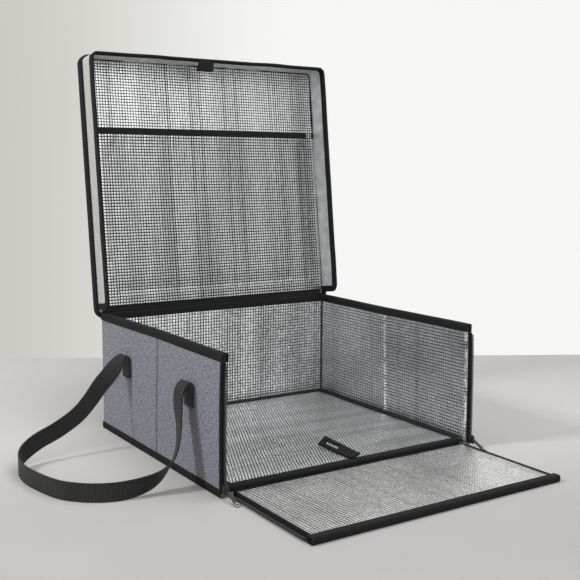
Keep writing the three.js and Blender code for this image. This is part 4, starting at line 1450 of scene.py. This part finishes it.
bpy.ops.mesh.delete(type="FACE")
bpy.ops.mesh.select_mode(type="VERT")
bpy.ops.object.mode_set(mode="OBJECT")
sew(piece, LOOP_THICK, binding_tape, None, ("base_pull_loop",), offset=0.0, angle=STRAP_ANGLE)
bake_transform(piece)
print(piece.name, round(lengths(route)[-1] / MM), "mm of webbing")

# %% [markdown]
# The lid is a shallow tray: a flat padded panel, a fat padded edge round it, and a cloth skirt that hangs
# from it with a bound rim. All of it is drawn shut, where it is square to the axes, and turned open at
# the end. The outer panel has round corners and a slight crown.

# %% Lid panels
LID_CORNER = 14 * MM
UNDER_CORNER = 10 * MM
SKIRT_THICK = 1.6 * MM
LID_CROWN = 1.4 * MM
LID_LAP = 4 * MM
LID_PUCKER = 0.3 * MM
lid_low, lid_high = shut_box("lid_cloth")
lid_size = (lid_high.x - lid_low.x + LID_LAP, lid_high.y - lid_low.y + LID_LAP)
lid_y = (lid_high.y + lid_low.y) / 2
piece = flat_cut("lid_panel_cloth", *lid_size, 90, 84)


def on_lid_top(u, v):
    u, v = round_corners(u, v, lid_size[0] / 2, lid_size[1] / 2, LID_CORNER)
    crown = LID_CROWN * (1 - (2 * u / lid_size[0]) ** 2) * (1 - (2 * v / lid_size[1]) ** 2)
    pucker = LID_PUCKER * ripples(20 * u, 20 * v, 71)
    return Vector((u, lid_y + v, lid_high.z + crown + pucker))


place(piece, on_lid_top)
sew(piece, CLOTH_THICK, heather, "lid", ("lid_cloth", "lid_board"), matrix=open_lid)

lining_low = shut_box("lid_lining")[0]
skirt_low, skirt_high = shut_box("lid_left_skirt")
skirt_x = -skirt_low.x
skirt_y = shut_box("lid_front_skirt")[0].y
under_size = (2 * (skirt_x - SKIRT_THICK), lid_y + lid_size[1] / 2 - skirt_y - SKIRT_THICK)
under_y = skirt_y + SKIRT_THICK + under_size[1] / 2
mouth_y = shut_box("lid_pocket_binding")[0].y
BEHIND_POCKET = 0.3
UNDER_LIFT = 0.7 * MM
UNDER_BAND = 0.9 * MM
UNDER_RIPPLE = 0.3 * MM
piece = flat_cut("lid_panel_lining", *under_size, 110, 100)


def under_lid(u, v):
    u, v = round_corners(u, v, under_size[0] / 2, under_size[1] / 2, UNDER_CORNER)
    bands = UNDER_BAND * ripples(26 * u, 3.5 * v, 73) + UNDER_RIPPLE * ripples(50 * u, 30 * v, 75)
    if under_y + v > mouth_y:
        bands *= BEHIND_POCKET
    return Vector((-u, under_y + v, lining_low.z + UNDER_LIFT + bands))


place(piece, under_lid)
sew(piece, LINING_THICK, lid_foil, "lid", ("lid_lining",), matrix=open_lid)
print("lid panel", [round(value / MM) for value in lid_size], "mm")

# %% [markdown]
# The padded edge is a closed strip with a round head and a narrow foot, which is sewn to the skirt. Its
# outline was drawn in millimetres from its outer face and its top.

# %% Padded edge
EDGE_CORNER = 17 * MM
EDGE_WAVER = 0.4 * MM
edge_low, edge_high = shut_box("lid_edge_piping")
EDGE_OUTLINE = (
    (0.0, -7.0), (0.3, -3.0), (1.4, -0.8), (4.3, 0.0), (8.0, -1.1), (9.6, -4.5), (8.6, -7.8),
    (5.8, -9.2), (4.9, -12.0), (4.0, -15.0), (2.4, -15.8), (0.9, -14.4), (0.2, -11.0), (0.0, -7.0),
)
bead = [(inner * MM, up * MM) for inner, up in EDGE_OUTLINE]
stations = []
for point, out in round_loop(edge_low, edge_high, EDGE_CORNER):
    waver = EDGE_WAVER * ripples(11 * point.x, 11 * point.y, 81)
    middle = Vector((point.x, point.y, edge_high.z + waver))
    stations.append((middle, -out, UP))
piece = strip("lid_padded_edge", bead, stations)
close_tube(piece)
turn(piece, open_lid)
smooth(piece, FOLD_ANGLE)
dress(piece, binding_tape, "lid", ("lid_edge_piping",))
print(piece.name, len(stations), "stations")

# %% [markdown]
# The skirt is a strip of cloth that runs down the left side, round two soft corners and up the right
# side. A place on it is given by how far along it lies and how far above the rim. Its lower part bulges
# here and there. Near the hinge its lower edge curves up, as the real one is cut to let the lid turn.

# %% Skirt and its lining
SKIRT_CORNER = 10 * MM
SKIRT_LEAN = 1.0 * MM
SKIRT_BULGE = 1.8 * MM
SKIRT_CUT = 15 * MM
SKIRT_RAISED = 1.3 * MM
FOIL_THICK = 0.5 * MM
FOIL_RAISED = 1.6 * MM
FOIL_RIPPLE = 0.35 * MM
rim_z = shut_box("lid_front_rim")[0].z
skirt_tall = skirt_high.z - rim_z
side_run = skirt_high.y - skirt_y - SKIRT_CORNER
corner_run = SKIRT_CORNER * TURN / 4
front_run = 2 * (skirt_x - SKIRT_CORNER)
skirt_long = 2 * side_run + 2 * corner_run + front_run


def skirt_outline(s):
    """The point on the skirt's outer face at the distance s from its left rear end, and the way out."""
    if s > skirt_long / 2:
        point, out = skirt_outline(skirt_long - s)
        return Vector((-point.x, point.y, 0)), Vector((-out.x, out.y, 0))
    if s < side_run:
        return Vector((-skirt_x, skirt_high.y - s, 0)), Vector((-1, 0, 0))
    turned = (s - side_run) / SKIRT_CORNER
    if turned < TURN / 4:
        out = Vector((-math.cos(turned), -math.sin(turned), 0))
        return Vector((SKIRT_CORNER - skirt_x, skirt_y + SKIRT_CORNER, 0)) + out * SKIRT_CORNER, out
    past = s - side_run - corner_run
    return Vector((SKIRT_CORNER - skirt_x + past, skirt_y, 0)), Vector((0, -1, 0))


def skirt_place(s, h, out=0.0):
    point, way = skirt_outline(s)
    bulge = (SKIRT_BULGE * max(ripples(13 * s, 2, 83), 0.0) - SKIRT_LEAN) * (1 - h / skirt_tall)
    return point + way * (out + bulge) + UP * (rim_z + h)


def skirt_foot(s):
    """How far above the rim the skirt's lower edge lies."""
    short = SKIRT_CUT - min(s, skirt_long - s)
    if short <= 0:
        return 0.0
    return SKIRT_CUT - math.sqrt(max(SKIRT_CUT ** 2 - short ** 2, 0.0))


piece = flat_cut("lid_skirt", skirt_long, skirt_tall, 260, 10)


def on_skirt(u, v):
    s = u + skirt_long / 2
    share = v / skirt_tall + 0.5
    foot = skirt_foot(s) + SKIRT_RAISED
    return skirt_place(s, foot + (skirt_tall - foot) * share)


place(piece, on_skirt)
# the skirt wears the paler copy of the heather, painted light where the key lamp falls
sew(piece, SKIRT_THICK, lit_heather, "lid",
    ("lid_left_skirt", "lid_front_skirt", "lid_right_skirt"), matrix=open_lid)

lining = flat_cut("lid_skirt_lining", skirt_long, skirt_tall, 260, 10)


def in_skirt(u, v):
    s = skirt_long / 2 - u
    share = v / skirt_tall + 0.5
    foot = skirt_foot(s) + FOIL_RAISED
    soft = FOIL_RIPPLE * ripples(60 * s, 40 * share * skirt_tall, 85)
    return skirt_place(s, foot + (skirt_tall - foot) * share, -SKIRT_THICK - FOIL_THICK + soft)


place(lining, in_skirt)
sew(lining, FOIL_THICK, skirt_foil, "lid", matrix=open_lid)
print("skirt", round(skirt_long / MM), "mm long")

# %% [markdown]
# The rim's tape follows the skirt's lower edge, round the cut at each rear end as well. Its profile is
# drawn across the skirt and into it, so each station needs the way out and the way into the skirt.

# %% Lid rim
RIM_THICK = 0.9 * MM
CUT_STEPS = 8
rim_leg = shut_box("lid_front_rim")[1].z - rim_z
rim_out = skirt_low.x - shut_box("lid_left_rim")[0].x
edge_path = [(0.0, skirt_tall - 1 * MM - k * (skirt_tall - SKIRT_CUT) / 4) for k in range(4)]
for k in range(CUT_STEPS + 1):
    angle = k / CUT_STEPS * TURN / 4
    edge_path.append((SKIRT_CUT * (1 - math.cos(angle)), SKIRT_CUT * (1 - math.sin(angle))))
edge_path += [(s, 0.0) for s in between(SKIRT_CUT + 8 * MM, skirt_long / 2, 70)]
edge_path += [(skirt_long - s, h) for s, h in reversed(edge_path[:-1])]
stations = []
for k, (s, h) in enumerate(edge_path):
    s_before, h_before = edge_path[max(k - 1, 0)]
    s_after, h_after = edge_path[min(k + 1, len(edge_path) - 1)]
    point = skirt_place(s, h)
    way = skirt_outline(s)[1]
    run = math.hypot(s_after - s_before, h_after - h_before)
    along = (skirt_place(s + 0.1 * MM, h) - skirt_place(s - 0.1 * MM, h)).normalized()
    into = along * (-(h_after - h_before) / run) + UP * ((s_after - s_before) / run)
    stations.append((point, way, into))
profile = folded_profile(-SKIRT_THICK - rim_out, rim_out, rim_leg, 0.2 * MM)
piece = strip("lid_rim_binding", profile[::-1], stations, open_lid)
sew(piece, RIM_THICK, binding_tape, "lid",
    ("lid_left_rim", "lid_front_rim", "lid_right_rim"), angle=FOLD_ANGLE)
print(piece.name, len(stations), "stations")

# %% [markdown]
# The pocket is a foil panel sewn into the lid along three sides, with a bound mouth. It lies close to the
# lining at its seams and stands off it in the middle. The panel hangs slack, so the cloth simulation lets
# it sag and ripple between its pinned seams, again with a cap.

# %% Lid pocket
POCKET_HALF = 213 * MM
POCKET_SEAM = 204 * MM
POCKET_SWELL = 26 * MM
POCKET_FOOT = 196 * MM
POCKET_SEWN = 9 * MM
POCKET_THICK = 0.9 * MM
POCKET_CAP = 1.6 * MM
POCKET_LIE = 0.9 * MM
POCKET_BAND = 0.7 * MM
POCKET_RIPPLE = 0.25 * MM
POCKET_HEM = 6 * MM
POCKET_MASS = 0.15
POCKET_SLACK = -0.012
POCKET_STIFF = 0.6
POCKET_FRAMES = 18
pocket_high = shut_box("lid_pocket_panel")[1]
pocket_gap = 0.45 * (lining_low.z - pocket_high.z)
pocket_long = POCKET_FOOT - mouth_y
pocket_size = (2 * POCKET_HALF, pocket_long)


def ease(value):
    value = min(max(value, 0.0), 1.0)
    return value * value * (3 - 2 * value)


def pocket_z(x, y):
    from_foot = pocket_high.y - y
    standing = ease((POCKET_SEAM - abs(x)) / POCKET_SWELL) * ease(from_foot / (1.5 * POCKET_SWELL))
    standing = min(standing, ease(from_foot / POCKET_SWELL))
    return lining_low.z - POCKET_LIE - (pocket_gap - POCKET_LIE) * standing


pocket = flat_cut("lid_pocket", *pocket_size, 96, 64)


def on_pocket(u, v):
    y = mouth_y + v + pocket_long / 2
    bands = POCKET_BAND * ripples(30 * u, 3 * v, 91) + POCKET_RIPPLE * ripples(60 * u, 40 * v, 93)
    return Vector((-u, y, pocket_z(u, y) + bands * ease((POCKET_FOOT - y) / POCKET_SWELL)))


place(pocket, on_pocket)
turn(pocket, open_lid)
pocket_rest = [vertex.co.copy() for vertex in pocket.data.vertices]
lid_facing = (open_lid.to_3x3() @ Vector((0, 0, -1))).normalized()
pinned = []
for k, point in enumerate(pocket_rest):
    shut_point = open_lid.inverted() @ point
    at_side = abs(shut_point.x) > POCKET_SEAM - POCKET_SEWN
    at_foot = shut_point.y > pocket_high.y - POCKET_SEWN
    at_mouth = shut_point.y < mouth_y + POCKET_HEM
    if at_side or at_foot or at_mouth:
        pinned.append(k)
simulate(pocket, pinned, POCKET_FRAMES, mass=POCKET_MASS, shrink_min=POCKET_SLACK,
         bending_stiffness=POCKET_STIFF)
for vertex, rest in zip(pocket.data.vertices, pocket_rest):
    push = (vertex.co - rest).dot(lid_facing)
    vertex.co = rest + lid_facing * min(max(push, -POCKET_CAP), POCKET_CAP)
pocket.data.update()
pocket_solids = (
    "lid_pocket_panel", "lid_pocket_lower_seam", "lid_pocket_left_seam", "lid_pocket_right_seam")
sew(pocket, POCKET_THICK, shaded_pocket_foil, "lid", pocket_solids, angle=FOLD_ANGLE)
print("pocket", [round(value / MM) for value in pocket_size], "mm")

# %% [markdown]
# The mouth of the pocket is bound like the other edges, with a narrow tape that follows the panel from
# one side seam to the other. Its ends are tucked flat under the seams.

# %% Pocket binding
MOUTH_THICK = 0.8 * MM
MOUTH_WAVER = 0.5 * MM
MOUTH_LEG = 10.5 * MM
MOUTH_HALF = 217 * MM
stations = []
for x in between(-MOUTH_HALF, MOUTH_HALF, 90):
    waver = MOUTH_WAVER * ripples(8 * x, 5, 95)
    tucked = ease((abs(x) - POCKET_SEAM + 6 * MM) / (5 * MM))
    middle = Vector((x, mouth_y - 0.6 * MM + waver, pocket_z(x, mouth_y) + 0.75 * MM * tucked))
    stations.append((middle, UP * (1 - 0.6 * tucked), BACK))
profile = folded_profile(-1.2 * MM, 1.9 * MM, MOUTH_LEG, 0.2 * MM)
piece = strip("lid_pocket_mouth", profile[::-1], stations, open_lid)
sew(piece, MOUTH_THICK, binding_tape, "lid", ("lid_pocket_binding",), angle=FOLD_ANGLE)
print(piece.name, len(stations), "stations")

# %% [markdown]
# The lid hangs on a band of tape that runs from the top of the back wall on to the lid. It bends as the
# lid turns; here it is drawn once, with the lid open.

# %% Hinge band
HINGE_THICK = 0.8 * MM
HINGE_WALL = 7.0 * MM
HINGE_LID = 9.0 * MM
hinge_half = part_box("lid_hinge_tape")[1].x
lid_up = (open_lid.to_3x3() @ Vector((0, -1, 0))).normalized()
lid_start = lid_pivot + lid_facing * -0.6 * MM
hinge_points = [
    Vector((0, lid_pivot.y - HINGE_WALL, wall_top + 0.5 * MM)),
    Vector((0, lid_pivot.y - HINGE_WALL / 2, wall_top + 0.6 * MM)),
    Vector((0, lid_pivot.y - 0.8 * MM, wall_top + 0.7 * MM)),
    lid_start + lid_up * 2.5 * MM,
    lid_start + lid_up * HINGE_LID,
]
hinge_side = smooth_route(hinge_points, 4)
profile = [(point.y, point.z) for point in hinge_side]
stations = [(Vector((x, 0, 0)), BACK, UP) for x in between(-hinge_half, hinge_half, 50)]
piece = strip("lid_hinge_band", profile, stations)
sew(piece, HINGE_THICK, binding_tape, None, ("lid_hinge_tape",), offset=0.0, angle=FOLD_ANGLE)
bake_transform(piece)
print(piece.name, len(stations), "stations")

# %% [markdown]
# A short loop of tape at the lid's rim is the tab that pulls it shut. It hangs a little slanted and lower
# than its solid. Its side view is given by how far out each point lies and by its share of the solid's
# length.

# %% Lid tab
TAB_THICK = 0.9 * MM
tab_low, tab_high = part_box("lid_pull_tab")
tab_y = (tab_low.y + tab_high.y) / 2
tab_x = (tab_low.x + tab_high.x) / 2
tab_long = tab_high.z - tab_low.z
TAB_SIDE = (
    (0.2, 0.82), (0.9, 0.5), (1.3, 0.05), (1.2, -0.42), (0.0, -0.55),
    (-1.2, -0.42), (-1.3, 0.05), (-0.9, 0.5), (-0.2, 0.82),
)
TAB_SLANT = 0.16
tab_points = []
for out, share in TAB_SIDE:
    slanted = tab_x + TAB_SLANT * (share - 0.8) * tab_long
    tab_points.append(Vector((slanted, tab_y + out * MM, tab_low.z + share * tab_long)))
route = smooth_route(tab_points, 4)
stations = [(point, RIGHT, UP) for point in route]
piece = strip("lid_tab_loop", flat_profile(tab_high.x - tab_low.x), stations)
sew(piece, TAB_THICK, binding_tape, "lid_tab", ("lid_pull_tab",), offset=0.0, angle=STRAP_ANGLE)
print(piece.name, len(stations), "stations")

# %% [markdown]
# Each handle is one length of webbing. It is sewn flat to the wall, folds over, drops away from the wall
# and lies on its edge on the table in a loose bend before it climbs to the other sewn end. Each row of a
# route is a point in millimetres and the direction across the webbing there: out from the wall, along it
# and up. The sewn ends are the same on both sides. The webbing bends between the wall and the swinging
# loop; here it is drawn once, at rest.

# %% Handles
STRAP_WIDE = 25 * MM
STRAP_THICK = 2.0 * MM
SEWN_OUT = 2.6
SEWN_REAR = 96
SEWN_FRONT = -110
SEWN_SIDE = ((SEWN_OUT, 103), (SEWN_OUT, 118), (2.7, 131), (5.0, 136.5))
REAR_END = tuple((out, SEWN_REAR, z, 0, 1, 0) for out, z in SEWN_SIDE)
FRONT_END = tuple((out, SEWN_FRONT, z, 0, -1, 0) for out, z in reversed(SEWN_SIDE))
NEAR_WALL = 12
LEFT_LOOP = (
    (9.5, 96, 136.5, 0, 1, 0), (17, 95.5, 127, 0.3, 0.9, 0.25), (30, 93, 112, 0.6, 0.5, 0.5),
    (46, 91, 97, 0.75, 0.15, 0.65), (64, 88, 77, 0.7, 0, 0.7), (86, 84, 58, 0.55, 0, 0.83),
    (118, 79, 42, 0.38, 0, 0.92), (150, 73, 31, 0.25, 0, 0.97), (174, 62, 20, 0.1, 0, 1),
    (188, 38, 14, 0, 0, 1), (193, 0, 12.7, 0, 0, 1), (188, -42, 12.7, 0, 0, 1),
    (176, -85, 12.7, 0, 0, 1), (158, -110, 12.7, 0, 0, 1), (137, -126, 12.7, 0, 0, 1),
    (113, -134, 12.7, 0, 0, 1), (84.6, -134.3, 14, 0.1, -0.2, 1), (58.6, -135.3, 22.1, 0.2, -0.55, 0.8),
    (38.4, -132.8, 37.9, 0.3, -0.85, 0.4), (27.8, -127.7, 55.5, 0.34, -0.93, 0.1),
    (22.6, -122.3, 76.1, 0.25, -0.96, 0), (20.3, -116.6, 97.1, 0.1, -0.99, 0),
    (18.5, -112, 115, 0, -1, 0), (15.5, -111, 128, 0, -1, 0), (9.5, -110, 136.5, 0, -1, 0),
)
RIGHT_LOOP = (
    (9.5, 96.5, 136.5, 0, 1, 0), (16, 98, 125, 0, 1, 0.1), (23, 100, 110, 0, 1, 0.1),
    (29, 105, 89, 0.2, 0.9, 0.3), (39, 120, 61, 0.3, 0.6, 0.7), (57, 143, 36, 0.2, 0.25, 0.95),
    (86, 165, 20, 0, 0, 1), (121, 174, 12.7, 0, 0, 1), (154, 162, 12.7, 0, 0, 1),
    (176, 130, 12.7, 0, 0, 1), (182, 85, 12.7, 0, 0, 1), (165, 40, 12.7, 0, 0, 1),
    (140, -5, 14, 0, 0, 1), (113, -44, 22, 0.1, 0, 1), (86, -77, 38, 0.3, 0, 0.95),
    (63, -96, 61, 0.5, -0.3, 0.8), (45, -104, 86, 0.5, -0.6, 0.4), (28, -108, 107, 0.2, -0.9, 0.1),
    (16, -109.5, 125, 0, -1, 0), (9.5, -110, 136.5, 0, -1, 0),
)
BLEND_START = 3.7 * MM
BLEND_END = 6.4 * MM
swing_z = joints["left_handle_swing"]["pos_m"][2]
for side, hand, loop_rows in (("left", -1, LEFT_LOOP), ("right", 1, RIGHT_LOOP)):
    points = []
    acrosses = []
    for out, y, z, away, back, rise in REAR_END + loop_rows + FRONT_END:
        held_in = inward(y * MM, z * MM) if out < NEAR_WALL else 0.0
        points.append(Vector((hand * (side_out + out * MM - held_in), y * MM, z * MM)))
        acrosses.append(Vector((hand * away, back, rise)))
    route = smooth_route(points, 6)
    across_route = smooth_route(acrosses, 6)
    stations = []
    for k, (point, across) in enumerate(zip(route, across_route)):
        tangent = (route[min(k + 1, len(route) - 1)] - route[max(k - 1, 0)]).normalized()
        across = (across - tangent * across.dot(tangent)).normalized()
        stations.append((point, across, across.cross(tangent)))
    piece = strip(f"{side}_handle_webbing", flat_profile(STRAP_WIDE, 8), stations)
    thicken(piece, STRAP_THICK, 0.0)
    smooth(piece, 50)
    nodes = (f"{side}_handle_strap", f"{side}_handle_rear_end", f"{side}_handle_front_end")
    dress(piece, webbing, None, nodes)
    start = (hand * (side_out + BLEND_START), 0, swing_z)
    end = (hand * (side_out + BLEND_END), 0, swing_z)
    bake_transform(piece)
    print(piece.name, round(lengths(route)[-1] / MM), "mm long")

# %% [markdown]
# The sewn ends are held by a square of stitches with a cross. One stitch is modelled from a small sphere,
# an Array modifier repeats it along each line, and the lines are joined into one piece for each square.

# %% Stitches
STITCH_LONG = 2.6 * MM
STITCH_PITCH = 3.4 * MM
STITCH_RADIUS = 0.35 * MM
STITCH_PROUD = 0.1 * MM


def stitch_lines(name, lines, facing):
    """Stitches along straight lines that are given as pairs of points."""
    rows = []
    for start, end in lines:
        along = (end - start).normalized()
        deselect()
        bpy.ops.mesh.primitive_uv_sphere_add(segments=6, ring_count=5, radius=STITCH_RADIUS)
        row = bpy.context.object
        row.scale = (STITCH_LONG / 2 / STITCH_RADIUS, 1, 1)
        bpy.ops.object.transform_apply(location=False, rotation=False, scale=True)
        repeat(row, max(1, int((end - start).length / STITCH_PITCH)), STITCH_PITCH)
        turned = Matrix((along, facing.cross(along), facing)).transposed().to_4x4()
        turn(row, Matrix.Translation(start + along * STITCH_PITCH / 2) @ turned)
        rows.append(row)
    piece = join(rows)
    piece.name = name
    smooth(piece, 80)
    return piece


BOX_HALF = 9.0 * MM
BOX_FOOT = 106 * MM
BOX_TOP = 127 * MM
for side, hand in SIDES:
    for end, y in (("rear", SEWN_REAR * MM), ("front", SEWN_FRONT * MM)):
        def on_patch(dy, z):
            out = side_out + SEWN_OUT * MM - inward(y, z) + STRAP_THICK / 2 + STITCH_PROUD
            return Vector((hand * out, y + dy, z))

        corners = [on_patch(-BOX_HALF, BOX_FOOT), on_patch(BOX_HALF, BOX_FOOT),
                   on_patch(BOX_HALF, BOX_TOP), on_patch(-BOX_HALF, BOX_TOP)]
        lines = list(zip(corners, corners[1:] + corners[:1]))
        lines += [(corners[0], corners[2]), (corners[1], corners[3])]
        piece = stitch_lines(f"{side}_{end}_box_stitch", lines, Vector((hand, 0, 0)))
        dress(piece, thread, "box")
print("box stitches made")

# %% [markdown]
# Last, the dressing is done. Cloth may stand a little proud of its solid.

# %% Finish
print("dressing done")
